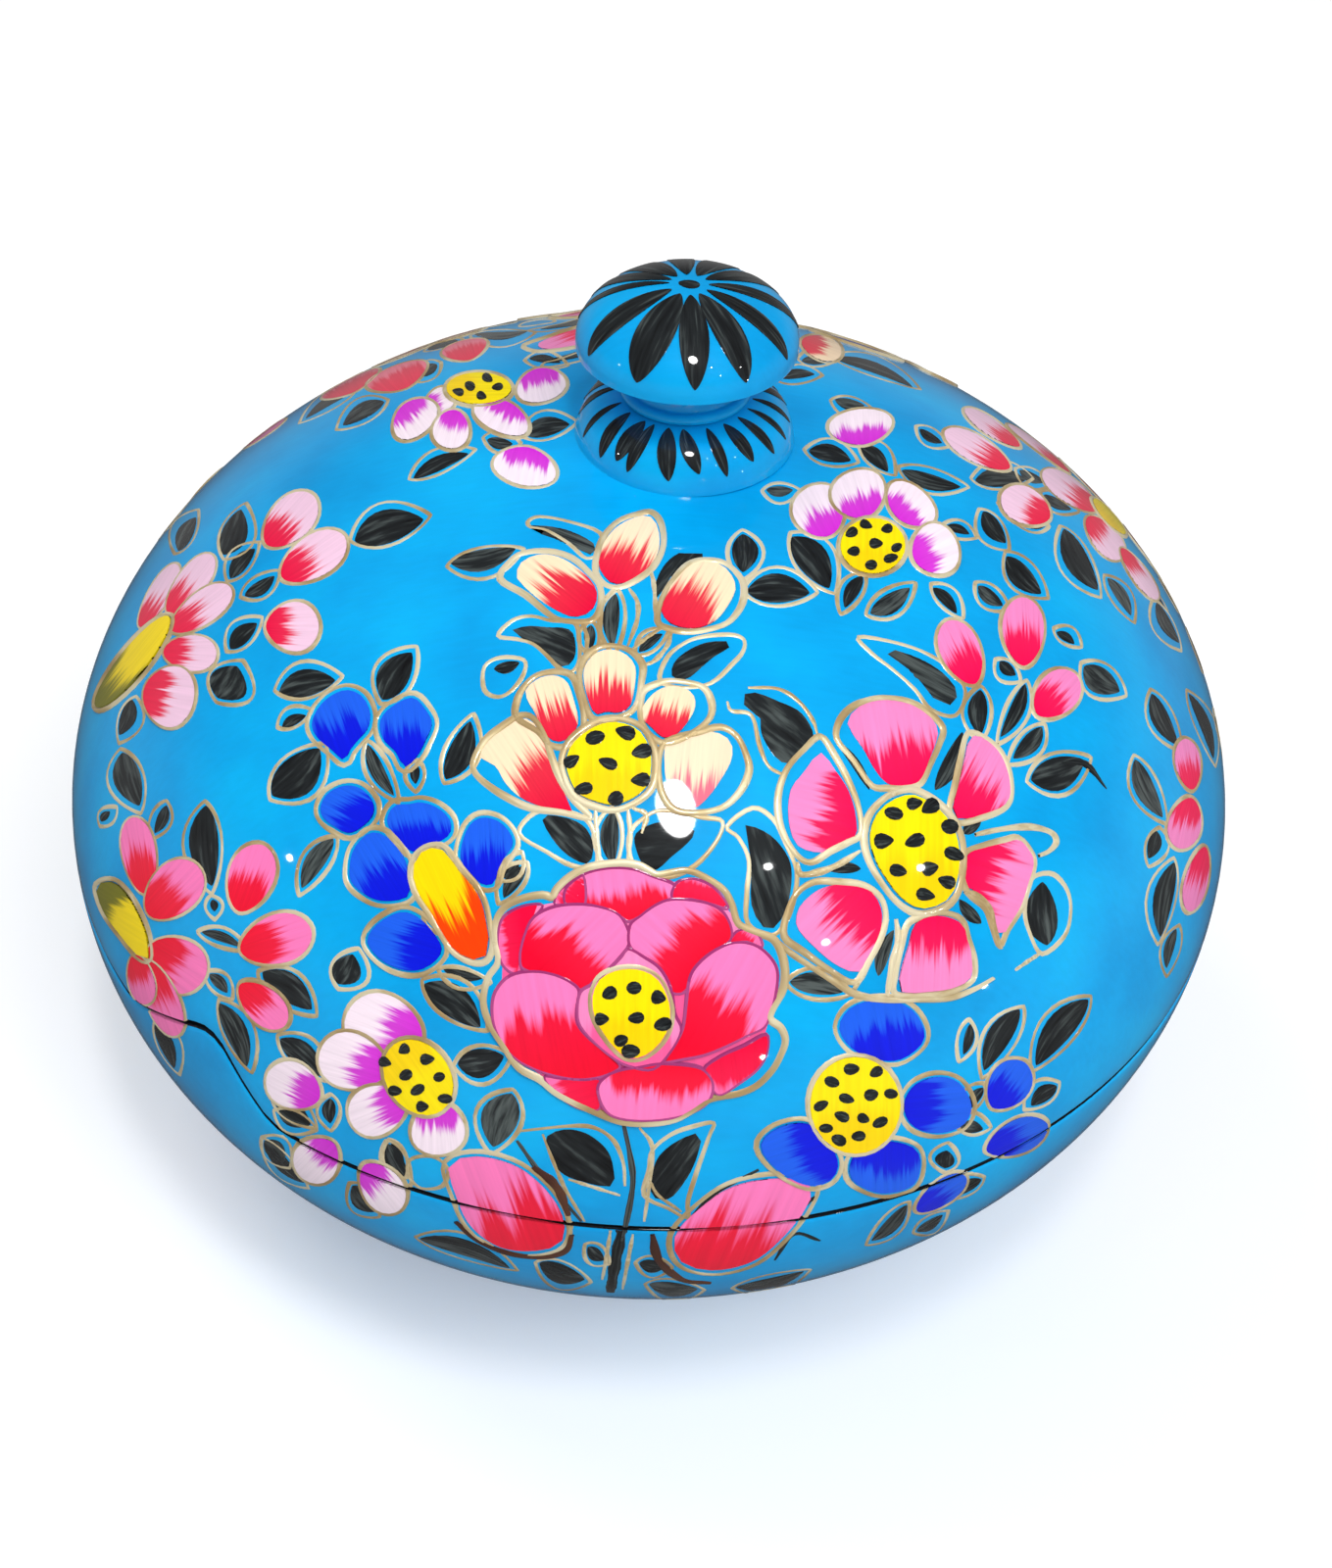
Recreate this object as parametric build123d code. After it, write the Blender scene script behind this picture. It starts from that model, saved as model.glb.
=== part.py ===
from build123d import *

import os
from math import cos, radians, sin, sqrt, tan

# A lidded box of papier mache: one hollow flattened ball of pressed paper pulp, sawn apart at its widest
# line into a bowl and a lid. A tongue in the saw cut registers the two, a pasteboard band pasted inside the
# bowl centres the lid, and a turned wooden knob is glued through the crown.
# Millimetres. +Z is up, the origin is on the table under the middle, and the tongue is at the front left.

# The pressed shell
body_radius = 50.0  # widest radius, outside
body_half_height = 36.4  # from the widest line up to the crown
rest_radius = 21.1  # flat underside that the box stands on
shell_wall = 3.0
floor_thickness = 3.5
floor_round = 5.0  # hollow corner between the wall and the floor inside

# The saw cut between bowl and lid
seam_below_widest = 0.8
seam_lean = 1.0  # degrees: the hand-sawn cut runs down towards +X
saw_kerf = 0.45  # paper that the saw and the sanding took away
tongue_azimuth = -131.2  # degrees from +X, where the tongue's top is
tongue_rise = 6.0  # to the meeting point of its two flanks, before rounding
tongue_gentle_run = 12.3  # the flank towards the left
tongue_steep_run = 6.1  # the flank towards the front
tongue_round = 3.0

# The band inside that centres the lid
collar_thickness = 1.5
collar_depth = 6.0  # pasted below the cut
collar_reach = 8.5  # standing above the cut
collar_clearance = 0.45  # to the lid
collar_edge_round = 0.6
paste_line = 0.15

# The turned knob, with heights above the crown
knob_offset = 2.1  # the hole was bored this far towards +X of the middle
foot_radius = 8.7
foot_skirt = 0.6  # straight edge of the foot below the crown's height
foot_rise = 3.3
foot_bulge = 1.1  # how far the foot swells beyond a straight cone
bead_radius = 5.15
bead_rise = 0.9
neck_radius = 4.4
neck_top = 5.4
cove_rise = 2.2  # the hollow under the cap, from the neck out to the cap's edge
cap_radius = 8.6
cap_edge = 0.5
cap_dome = 4.7
tenon_radius = 2.5
tenon_proud = 0.5  # glued end standing proud inside the lid
tenon_clearance = 0.1
glue_line = 0.1

# What follows from them
widest_height = body_half_height * sqrt(1 - (rest_radius / body_radius) ** 2)
seam_height = widest_height - seam_below_widest
crown_height = widest_height + body_half_height
lean_drop = body_radius * tan(radians(seam_lean))  # how far the leaning cut strays at the wall
beyond = 2 * body_radius  # cutting tools reach past the whole body


def flattened_ball(inset=0.0):
    """The shell's oval turned about Z, everywhere smaller by an inset, about the widest line's middle."""
    radius = body_radius - inset
    half_height = body_half_height - inset
    curve = EllipticalCenterArc((0, widest_height), radius, half_height, start_angle=-90, arc_size=180)
    half_oval = make_face(curve + Line(curve @ 1, curve @ 0))
    return revolve(Plane.XZ * half_oval, Axis.Z)


def slab(low, high):
    """Everything between two heights."""
    middle = Pos(0, 0, (low + high) / 2)
    return middle * Box(2 * beyond, 2 * beyond, high - low)


def hollow():
    """The space inside the closed shell, flat at the floor with a round corner."""
    space = flattened_ball(shell_wall) & slab(floor_thickness, crown_height)
    corner = space.edges().group_by(Axis.Z)[0]
    return fillet(corner, floor_round)


def closed_shell():
    """The pressed shell before it is sawn apart."""
    outside = flattened_ball() & slab(0, crown_height + shell_wall)
    return outside - hollow()


def below_cut(lift):
    """Everything under the saw cut, with the tongue standing on it, lifted by what is given."""
    straight = tongue_gentle_run + tongue_steep_run
    flanks = FilletPolyline(
        (-tongue_gentle_run - straight, 0),
        (-tongue_gentle_run, 0),
        (0, tongue_rise),
        (tongue_steep_run, 0),
        (tongue_steep_run + straight, 0),
        radius=tongue_round,
    )
    root = (0, -tongue_rise)
    underside = Polyline(flanks @ 1, flanks @ 1 + root, flanks @ 0 + root, flanks @ 0)
    outward = (cos(radians(tongue_azimuth)), sin(radians(tongue_azimuth)), 0)
    along = (-outward[1], outward[0], 0)
    facing = Plane((0, 0, 0), x_dir=along, z_dir=outward)
    tongue = extrude(facing * make_face(flanks + underside), beyond)
    ground = Pos(0, 0, -beyond) * Box(2 * beyond, 2 * beyond, 2 * beyond)
    return Pos(0, 0, seam_height + lift) * Rot(0, seam_lean, 0) * (ground + tongue)


def base_shell():
    """The bowl: the closed shell up to the saw cut, with its tongue."""
    return closed_shell() & below_cut(-saw_kerf / 2)


def lid_shell():
    """The lid: the closed shell above the saw cut, notched for the tongue and bored for the knob's tenon."""
    bore = Pos(knob_offset, 0, crown_height) * Cylinder(tenon_radius + tenon_clearance, 4 * shell_wall)
    return closed_shell() - below_cut(saw_kerf / 2) - bore


def locating_collar():
    """The band: pasted to the bowl's wall below the cut, and clear of the lid's wall above it."""
    low = seam_height - collar_depth
    high = seam_height + collar_reach
    pasted_to = seam_height - lean_drop - saw_kerf
    pasted = flattened_ball(shell_wall + paste_line) & slab(low, pasted_to)
    standing = flattened_ball(shell_wall + collar_clearance) & slab(pasted_to, high)
    inside = flattened_ball(shell_wall + collar_clearance + collar_thickness)
    band = pasted + standing - inside
    upper_edges = band.edges().group_by(Axis.Z)[-1]
    return fillet(upper_edges, min(collar_edge_round, 0.4 * collar_thickness))


def turned_profile():
    """Half the knob's section: foot, bead, neck, hollow under the cap, and the cap's dome."""
    low = -2 * shell_wall
    foot_edge = (foot_radius, -foot_skirt)
    bead_core = bead_radius - bead_rise / 2
    bead_top = foot_rise + bead_rise
    cap_low = neck_top + cove_rise
    cap_rim = cap_low + cap_edge
    cap_top = cap_rim + cap_dome
    cove_width = cap_radius - neck_radius
    outline = [
        Polyline((0, low), (foot_radius, low), foot_edge),
        SagittaArc(foot_edge, (bead_core, foot_rise), -foot_bulge),
        ThreePointArc((bead_core, foot_rise), (bead_radius, foot_rise + bead_rise / 2), (bead_core, bead_top)),
        Polyline((bead_core, bead_top), (neck_radius, bead_top), (neck_radius, neck_top)),
        EllipticalCenterArc((cap_radius, neck_top), cove_width, cove_rise, start_angle=180, arc_size=-90),
        Line((cap_radius, cap_low), (cap_radius, cap_rim)),
        EllipticalCenterArc((0, cap_rim), cap_radius, cap_dome, start_angle=90, arc_size=-90),
        Line((0, cap_top), (0, low)),
    ]
    return make_face(Curve() + outline)


def knob():
    """The turned knob, its foot hollowed to sit on the crown, with the tenon that goes through the lid."""
    turned = Pos(knob_offset, 0, crown_height) * revolve(Plane.XZ * turned_profile(), Axis.Z)
    seated = turned - flattened_ball(-glue_line)
    crown_fall = body_half_height * (1 - sqrt(1 - (knob_offset / body_radius) ** 2))
    tenon_end = crown_height - crown_fall - shell_wall - tenon_proud
    tenon_length = crown_height + neck_top - tenon_end
    tenon = Pos(knob_offset, 0, tenon_end + tenon_length / 2) * Cylinder(tenon_radius, tenon_length)
    return seated + tenon


pieces = {
    "base_shell": base_shell(),
    "lid_shell": lid_shell(),
    "locating_collar": locating_collar(),
    "knob": knob(),
}

os.makedirs("parts", exist_ok=True)
for name, piece in pieces.items():
    export_step(piece, f"parts/{name}.step")
    print(name, round(piece.volume), "mm3")
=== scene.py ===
# %% [markdown]
# # A round papier mache box, painted with flowers
# The box is a flattened ball of pressed paper, sawn into a bowl and a lid, with a turned wooden knob.
# Painters cover it with a turquoise ground, lay flowers on it in body colour, draw round them in gold, and
# flood everything with clear lacquer. This lesson makes it in the same order: the bare skins first, then the
# ground, then one brush stroke after another, each a thin raised pad of its own.

import bmesh
import bpy
import numpy as np
from mathutils import Matrix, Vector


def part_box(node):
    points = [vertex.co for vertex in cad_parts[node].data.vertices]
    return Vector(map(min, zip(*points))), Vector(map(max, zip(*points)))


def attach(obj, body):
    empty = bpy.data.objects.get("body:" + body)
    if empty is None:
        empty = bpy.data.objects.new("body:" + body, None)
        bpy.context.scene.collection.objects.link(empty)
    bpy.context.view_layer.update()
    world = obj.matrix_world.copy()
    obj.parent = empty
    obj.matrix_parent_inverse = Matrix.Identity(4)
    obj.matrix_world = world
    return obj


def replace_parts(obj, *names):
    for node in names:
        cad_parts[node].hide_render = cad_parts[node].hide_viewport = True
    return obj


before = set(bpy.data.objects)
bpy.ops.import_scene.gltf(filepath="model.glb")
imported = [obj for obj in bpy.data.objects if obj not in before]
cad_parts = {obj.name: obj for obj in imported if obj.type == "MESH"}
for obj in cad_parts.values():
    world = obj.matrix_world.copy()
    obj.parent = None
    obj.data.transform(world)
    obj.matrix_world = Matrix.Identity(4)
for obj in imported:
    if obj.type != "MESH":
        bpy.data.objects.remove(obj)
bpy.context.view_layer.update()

# %% [markdown]
# ## The sizes of the real box
# All sizes here are millimetres, as a maker would give them, and one number turns them to metres where a mesh
# is made. They are the same driving sizes as in the construction model, so every painted piece lies on it.

# %% Driving sizes
metres = 0.001
body_radius = 50.0
body_half_height = 36.4
rest_radius = 21.1
shell_wall = 3.0
floor_thickness = 3.5
floor_round = 5.0
seam_below_widest = 0.8
seam_lean = np.radians(1.0)
saw_kerf = 0.45
tongue_azimuth = np.radians(-131.2)
tongue_corners = ((-12.3, 0.0), (0.0, 6.0), (6.1, 0.0))
tongue_round = 3.0
knob_offset = 2.1
glue_line = 0.1

widest_height = body_half_height * np.sqrt(1 - (rest_radius / body_radius) ** 2)
seam_height = widest_height - seam_below_widest
crown_height = widest_height + body_half_height
ball_centre = np.array([0.0, 0.0, widest_height])
ball_axes = np.array([body_radius, body_radius, body_half_height])
lid_low, lid_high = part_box("lid_shell")
lid_width = (lid_high.x - lid_low.x) / metres
print("widest line at", round(widest_height, 2), "mm; the lid's box is", round(lid_width, 2), "mm wide")

# %% [markdown]
# ## The camera
# The photograph was taken from close by and from about 41 degrees above, so the near side of the ball looks
# larger than the far side. A camera is a place, three directions and a focal length. Here they come from
# fitting the ball's outline and the knob to the photograph.

# %% Camera
photo_width, photo_height = 1359, 1600
camera_distance = 220.0
camera_rise = np.radians(41.38)
camera_roll = np.radians(1.39)
focal_pixels = 2535.3
principal_point = np.array([662.6, 788.4])
sensor_mm = 36.0


def placed(name, data):
    """A new object in the scene."""
    thing = bpy.data.objects.new(name, data)
    bpy.context.scene.collection.objects.link(thing)
    return thing


camera_back = np.array([0.0, -np.cos(camera_rise), np.sin(camera_rise)])
level_right = np.array([1.0, 0.0, 0.0])
level_up = np.array([0.0, np.sin(camera_rise), np.cos(camera_rise)])
camera_right = np.cos(camera_roll) * level_right + np.sin(camera_roll) * level_up
camera_up = np.cos(camera_roll) * level_up - np.sin(camera_roll) * level_right
camera_place = ball_centre + camera_distance * camera_back

camera_data = bpy.data.cameras.new("camera")
camera_data.lens = focal_pixels / photo_height * sensor_mm
camera_data.sensor_width = sensor_mm
camera_data.shift_x = (photo_width / 2 - principal_point[0]) / photo_height
camera_data.shift_y = (principal_point[1] - photo_height / 2) / photo_height
camera_data.clip_start = 0.01
camera = placed("camera", camera_data)
turned = Matrix((camera_right, camera_up, camera_back)).transposed().to_4x4()
camera.matrix_world = Matrix.Translation(camera_place * metres) @ turned
bpy.context.scene.camera = camera
print("camera", round(camera_data.lens, 2), "mm lens at", camera_place.round(1), "mm")

# %% [markdown]
# ## Colours and nodes
# Paint colours are written as sRGB hex values, which is how a colour picker gives them, and the shader wants
# linear light, so one function turns them. A second one adds any node, sets its values and links its sockets.
# The others stand on it and give what every paint needs: a sum, a noise, a row of colours, an embossing.

# %% Helpers for materials
def linear(colour):
    """sRGB to linear light: the low end is divided by 12.92, the rest follows a power of 2.4."""
    share = np.array([int(colour[i : i + 2], 16) for i in (1, 3, 5)]) / 255
    light = np.where(share <= 0.04045, share / 12.92, ((share + 0.055) / 1.055) ** 2.4)
    return tuple(light) + (1.0,)


def add(tree, kind, inputs=None, **settings):
    """Adds a node, gives it its settings, and sets or links each named input."""
    node = tree.nodes.new("ShaderNode" + kind)
    for name, value in settings.items():
        setattr(node, name, value)
    for name, value in (inputs or {}).items():
        if isinstance(value, bpy.types.NodeSocket):
            tree.links.new(value, node.inputs[name])
        else:
            node.inputs[name].default_value = value
    return node


def fresh_material(name):
    """A material with an empty node tree."""
    material = bpy.data.materials.new(name)
    material.use_nodes = True
    material.node_tree.nodes.clear()
    return material, material.node_tree


def object_place(tree):
    """Where a point of the box lies, in metres. In a world it is the direction looked in."""
    return add(tree, "TexCoord").outputs["Object"]


def carries(tree, name):
    """The outputs of a value that the strokes carry on their points."""
    return add(tree, "Attribute", attribute_name=name).outputs


def maths(tree, operation, *values):
    """One sum on one, two or three numbers."""
    return add(tree, "Math", dict(enumerate(values)), operation=operation).outputs["Value"]


def spread(tree, value, low, high, to_low=0.0, to_high=1.0, kind="SMOOTHSTEP"):
    """A number carried from one span to another, with soft ends unless the kind is LINEAR."""
    spans = {"Value": value, "From Min": low, "From Max": high, "To Min": to_low, "To Max": to_high}
    return add(tree, "MapRange", spans, interpolation_type=kind).outputs["Result"]


def noise(tree, vector, detail, size_mm=None, roughness=0.5):
    """Soft patches of light and dark, of a size in millimetres or, with none, of the vector's own unit."""
    scale = 1.0 if size_mm is None else 1 / (size_mm * metres)
    inputs = {"Vector": vector, "Scale": scale, "Detail": detail, "Roughness": roughness}
    return add(tree, "TexNoise", inputs).outputs["Fac"]


def ramp(tree, share, first, last, *between):
    """A row of colours, each at its own place between 0 and 1."""
    node = add(tree, "ValToRGB", {"Fac": share})
    marks = node.color_ramp.elements
    for number, (position, colour) in enumerate((first, last)):
        marks[number].position = position
        marks[number].color = linear(colour)
    for position, colour in between:
        marks.new(position).color = linear(colour)
    return node.outputs["Color"]


def shaded(tree, colour, share):
    """A colour made darker or lighter by a share."""
    return add(tree, "VectorMath", {0: colour, "Scale": share}, operation="SCALE").outputs["Vector"]


def embossed(tree, height, depth_mm):
    """The surface's direction once it is raised by a height of at most so many millimetres."""
    inputs = {"Height": height, "Distance": depth_mm * metres, "Strength": 1.0}
    return add(tree, "Bump", inputs).outputs["Normal"]


# %% [markdown]
# ## Lacquer over everything
# The whole box was dipped or brushed with clear copal varnish after painting. It is smooth enough to mirror a
# lamp, but its surface flows a little over the brush marks, which breaks a highlight's edge. The principled
# shader's coat is just that: a clear layer of its own over a duller paint. The paint's fine bump stays under
# the coat, and the coat gets a longer, much softer wave.

# %% Lacquer
varnish_ior = 1.5
varnish_roughness = 0.035
paint_gloss = 0.08
coat_wave_mm = 7.0
coat_wave_height_mm = 0.016


def lacquered(tree, colour, paint_normal=None, roughness=0.42, metallic=0.0):
    """Paint of a given colour under a clear coat that ripples slightly, joined to the output."""
    wave = noise(tree, object_place(tree), 1.0, coat_wave_mm)
    inputs = {
        "Base Color": colour,
        "Roughness": roughness,
        "Metallic": metallic,
        "IOR": varnish_ior,
        "Specular IOR Level": paint_gloss,
        "Coat Weight": 1.0,
        "Coat Roughness": varnish_roughness,
        "Coat IOR": varnish_ior,
        "Coat Normal": embossed(tree, wave, coat_wave_height_mm),
    }
    if paint_normal is not None:
        inputs["Normal"] = paint_normal
    shader = add(tree, "BsdfPrincipled", inputs)
    add(tree, "OutputMaterial", {"Surface": shader.outputs["BSDF"]})


# %% [markdown]
# ## The turquoise ground
# Distemper ground, brushed on in short strokes and rubbed smooth. Seen close it isn't one flat blue: it is a
# shade darker where the brush left more, and a shade greener where less. Two noises do it, one in soft clouds
# a centimetre across, one drawn out into brush marks a third of a millimetre wide. Inside, the box is plain
# lamp-black lacquer.

# %% Ground material
cloud_mm = 11.0
ground_blues = ((0.32, "#009ADE"), (0.68, "#00B2F2"), (0.5, "#00A6EA"))
brush_mark_mm = 0.35
brush_mark_stretch = (0.12, 1.0, 0.5)
brush_mark_depth_mm = 0.006
brush_mark_shades = (0.92, 1.05)
black_mark_mm = 2.2
black_mark_depth_mm = 0.03
blacks = ((0.0, "#0C0B0C"), (1.0, "#1C191A"))


def ground_paint():
    """Turquoise distemper: clouds choose between three close blues, brush marks shade and emboss them."""
    material, tree = fresh_material("turquoise_distemper_under_varnish")
    place = object_place(tree)
    blues = ramp(tree, noise(tree, place, 3.0, cloud_mm), *ground_blues)
    drawn_out = add(tree, "Mapping", {"Vector": place, "Scale": brush_mark_stretch}).outputs["Vector"]
    marks = noise(tree, drawn_out, 2.0, brush_mark_mm)
    shade = spread(tree, marks, 0.0, 1.0, *brush_mark_shades, "LINEAR")
    lacquered(tree, shaded(tree, blues, shade), embossed(tree, marks, brush_mark_depth_mm))
    return material


def black_lacquer():
    """Inside, rims and band: lamp-black lacquer, near black with a faint brown cast and soft brush marks."""
    material, tree = fresh_material("lamp_black_lacquer")
    marks = noise(tree, object_place(tree), 4.0, black_mark_mm)
    lacquered(tree, ramp(tree, marks, *blacks), embossed(tree, marks, black_mark_depth_mm), roughness=0.3)
    return material


ground = ground_paint()
black = black_lacquer()
print("materials", ground.name, black.name)

# %% [markdown]
# ## The three paints
# Every painted stroke carries three things on its own points: where the point is in the stroke (across, along
# and which stroke it is), the colour at the stroke's root and the colour at its tip. One shader then paints
# all petals the way the painter does: a wet root colour dragged out towards the tip with a dry brush, so that
# the border between the two is a row of teeth. The leaves are one dark stroke with lighter hairs in it. The
# drawing lines are shell gold, pale where it is thick and brown where it is thin, and cream in soft patches
# of painted sheen laid at random. Nearly half of it shines as metal does, so the lines are cream round the
# highlight and tan away from it.

# %% Paint materials
# How often the marks change across a stroke, along it, and from one stroke to the next
petal_marks = (18.0, 0.9, 57.0)
leaf_marks = (7.0, 1.6, 57.0)
gold_marks = (2.0, 14.0, 57.0)
hair_depth_mm = 0.02
hair_shades = (0.84, 1.14)
pale_rim = 0.22
tooth_softness = 0.13
thinning = 0.08
leaf_tones = ((0.3, "#131416"), (0.78, "#535B5A"), (0.55, "#232729"))
# Size of the soft cream patches on the gold lines, which are painted sheen
gold_sheen_patch_mm = 6.0
load_share = 0.35
gold_tones = ((0.25, "#C8AA78"), (0.68, "#FFF1CB"), (0.5, "#E4CE9E"))


def brush_marks(tree, often, detail, roughness=0.5):
    """Noise in a stroke's own coordinates, drawn out along the stroke."""
    stretched = add(tree, "Mapping", {"Vector": carries(tree, "stroke")["Vector"], "Scale": often})
    return noise(tree, stretched.outputs["Vector"], detail, roughness=roughness)


def petal_paint():
    """Body colour: root and tip colours meet in teeth drawn out along the petal, as far as the reach says.
    The tip colour comes down further at the petal's sides, and thins the root colour a little."""
    material, tree = fresh_material("gouache_petals_under_varnish")
    stroke = add(tree, "SeparateXYZ", {"Vector": carries(tree, "stroke")["Vector"]}).outputs
    root = carries(tree, "root")
    tip = carries(tree, "tip")
    hairs = brush_marks(tree, petal_marks, 2.0, 0.6)
    off_middle = maths(tree, "ABSOLUTE", maths(tree, "SUBTRACT", stroke["X"], 0.5))
    rim = spread(tree, off_middle, 0.3, 0.5, 0.0, pale_rim)
    drawn_up = maths(tree, "ADD", rim, stroke["Y"])
    reached = maths(tree, "MULTIPLY_ADD", hairs, tip["Alpha"], drawn_up)
    past = maths(tree, "SUBTRACT", reached, root["Alpha"])
    teeth = spread(tree, past, -tooth_softness, tooth_softness)
    blend = maths(tree, "MAXIMUM", teeth, maths(tree, "MULTIPLY", stroke["Y"], thinning))
    # On a colour mix node the two colours are inputs 6 and 7, and the mixed colour is output 2
    colours = {"Factor": blend, 6: root["Color"], 7: tip["Color"]}
    mixed = add(tree, "Mix", colours, data_type="RGBA").outputs[2]
    shade = spread(tree, hairs, 0.0, 1.0, *hair_shades, "LINEAR")
    lacquered(tree, shaded(tree, mixed, shade), embossed(tree, hairs, hair_depth_mm))
    return material


def leaf_paint():
    """Leaves, dots and stems: bottle black, with grey-green hairs drawn along the stroke. A stroke whose own
    number is high was painted with thinner colour and is paler, by as much as its look allows."""
    material, tree = fresh_material("black_green_gouache_under_varnish")
    hairs = brush_marks(tree, leaf_marks, 3.0)
    own = add(tree, "SeparateXYZ", {"Vector": carries(tree, "stroke")["Vector"]}).outputs["Z"]
    paler = spread(tree, own, 0.4, 1.0, 0.0, carries(tree, "root")["Alpha"], "LINEAR")
    tones = ramp(tree, maths(tree, "ADD", hairs, paler), *leaf_tones)
    lacquered(tree, tones, embossed(tree, hairs, hair_depth_mm))
    return material


def gold_paint():
    """Shell gold: powdered brass in gum, half metal and half matt, cream where thick and brown where thin.
    It is thick by the marks in the line, and it turns cream in soft patches that are painted sheen."""
    material, tree = fresh_material("shell_gold_line")
    # Soft patches six millimetres across, laid at random, lift the gold towards cream: painted sheen
    sheen_patches = noise(tree, object_place(tree), 1.0, gold_sheen_patch_mm)
    load = maths(tree, "MULTIPLY_ADD", brush_marks(tree, gold_marks, 2.0), load_share, sheen_patches)
    tones = ramp(tree, spread(tree, load, 0.35, 0.95, kind="LINEAR"), *gold_tones)
    lacquered(tree, tones, roughness=0.45, metallic=0.45)
    return material


paints = [petal_paint(), leaf_paint(), gold_paint()]
petal_slot, leaf_slot, gold_slot = range(3)
print("paints", [paint.name for paint in paints])

# %% [markdown]
# ## A pale table and an even sky
# The floor is a plain pale sheet. To the camera it glows a little near the box, where the shadow lies, and is
# plain white further off, so that it has no far edge. The sky gives even light, near the level at which a
# colour renders as it is written. The lacquer mirrors both dimly, and paler only towards the horizon, which
# shows at the ball's rim.

# %% Floor and world
floor_size = 40.0
floor_paper = "#EAEAEA"
floor_glow = 0.24
floor_white = 0.96
white_from, white_beyond = 0.12, 0.6
sky_strength = 0.42
sky_in_lacquer = 0.05
horizon_in_lacquer = 0.2
haze_top = 0.35
floor_in_lacquer = 0.09
hazy_from, hazy_at = 0.08, 0.3


def glowing(tree, strength):
    """A plain white glow."""
    return add(tree, "Emission", {"Strength": strength}).outputs["Emission"]


def either(tree, share, one, other):
    """One shader, or by a share the other."""
    return add(tree, "MixShader", {"Fac": share, 1: one, 2: other}).outputs["Shader"]


def pale_floor():
    """A square sheet under the box, which looks different to the camera, to the lacquer and to soft light."""
    half = floor_size / 2
    mesh = bpy.data.meshes.new("floor")
    corners = [(-half, -half, 0.0), (half, -half, 0.0), (half, half, 0.0), (-half, half, 0.0)]
    mesh.from_pydata(corners, [], [(0, 1, 2, 3)])
    material, tree = fresh_material("matt_white_paper")
    rays = add(tree, "LightPath").outputs
    far = add(tree, "VectorMath", {0: object_place(tree)}, operation="LENGTH").outputs["Value"]
    sheet = add(tree, "BsdfDiffuse", {"Color": linear(floor_paper)}).outputs["BSDF"]
    near = add(tree, "AddShader", {0: sheet, 1: glowing(tree, floor_glow)}).outputs["Shader"]
    shown = either(tree, spread(tree, far, white_from, white_beyond), near, glowing(tree, floor_white))
    dim = spread(tree, far, hazy_from, hazy_at, floor_in_lacquer, horizon_in_lacquer)
    others = either(tree, rays["Is Glossy Ray"], sheet, glowing(tree, dim))
    surface = either(tree, rays["Is Camera Ray"], others, shown)
    add(tree, "OutputMaterial", {"Surface": surface})
    mesh.materials.append(material)
    floor = placed("floor", mesh)


def even_sky():
    """A plain world: white to the camera, even as a source of light, and dim in the lacquer, where it gets
    paler down to the horizon."""
    world = bpy.data.worlds.new("even_sky")
    world.use_nodes = True
    tree = world.node_tree
    tree.nodes.clear()
    rays = add(tree, "LightPath").outputs
    looked = add(tree, "SeparateXYZ", {"Vector": object_place(tree)}).outputs["Z"]
    haze = spread(tree, looked, 0.0, haze_top, horizon_in_lacquer, sky_in_lacquer)
    less = maths(tree, "SUBTRACT", haze, sky_strength)
    lit = maths(tree, "MULTIPLY_ADD", rays["Is Glossy Ray"], less, sky_strength)
    strength = maths(tree, "MAXIMUM", rays["Is Camera Ray"], lit)
    sky = add(tree, "Background", {"Color": (1, 1, 1, 1), "Strength": strength})
    add(tree, "OutputWorld", {"Surface": sky.outputs["Background"]})
    bpy.context.scene.world = world


pale_floor()
even_sky()
bpy.context.scene.view_settings.view_transform = "Standard"

# %% [markdown]
# ## From the photograph onto the ball
# The camera's numbers also work backwards. A point of the photograph becomes a ray, and the ray meets the
# ball where the painter's brush did. So a flower can be described by where it is seen.

# %% Rays onto the ball
def on_unit_ball(points):
    """Points pressed along their own radius onto the ball, with the ball's outward normals."""
    unit = (points - ball_centre) / ball_axes
    unit /= np.linalg.norm(unit, axis=1, keepdims=True)
    normal = unit / ball_axes
    normal /= np.linalg.norm(normal, axis=1, keepdims=True)
    return ball_centre + unit * ball_axes, normal


def seen(flat, lift=0.0):
    """Photo pixels carried along the camera's rays onto the ball: the nearer root of the quadratic for the
    ray's length. A ray that just misses stops at the ball's edge."""
    offset = (flat - principal_point) / focal_pixels
    rays = offset[:, :1] * camera_right - offset[:, 1:] * camera_up - camera_back
    start = (camera_place - ball_centre) / ball_axes
    rays_scaled = rays / ball_axes
    a = (rays_scaled**2).sum(1)
    b = rays_scaled @ start
    c = start @ start - 1
    length = (-b - np.sqrt(np.maximum(b * b - a * c, 0))) / a
    points, normals = on_unit_ball(camera_place + rays * length[:, None])
    return points + lift * normals


# %% [markdown]
# ## Lamps
# Each sparkle in the lacquer is a lamp's mirror image. A lamp is therefore hung where a mirror lying on the
# ball at the sparkle would point: one oval key lamp for the large sparkle and a small lamp for each of the
# others. Two large soft lamps, which the lacquer doesn't show, shape the ball.

# %% Lamps for the sparkles and the shape
lamp_distance = 700.0
main_sparkle = (690.0, 825.0)
key_power, key_width, key_height = 1.2, 80.0, 150.0
small_sparkles = [(938, 886), (784, 884), (296, 876), (778, 1078), (842, 962), (1004, 1006)]
point_power, point_size = 0.06, 16.0
soft_lamps = {
    "front_soft_lamp": ((300.0, -470.0, 700.0), 3.4),
    "back_soft_lamp": ((-420.0, 260.0, 760.0), 2.0),
}
soft_size = 500.0


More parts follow.
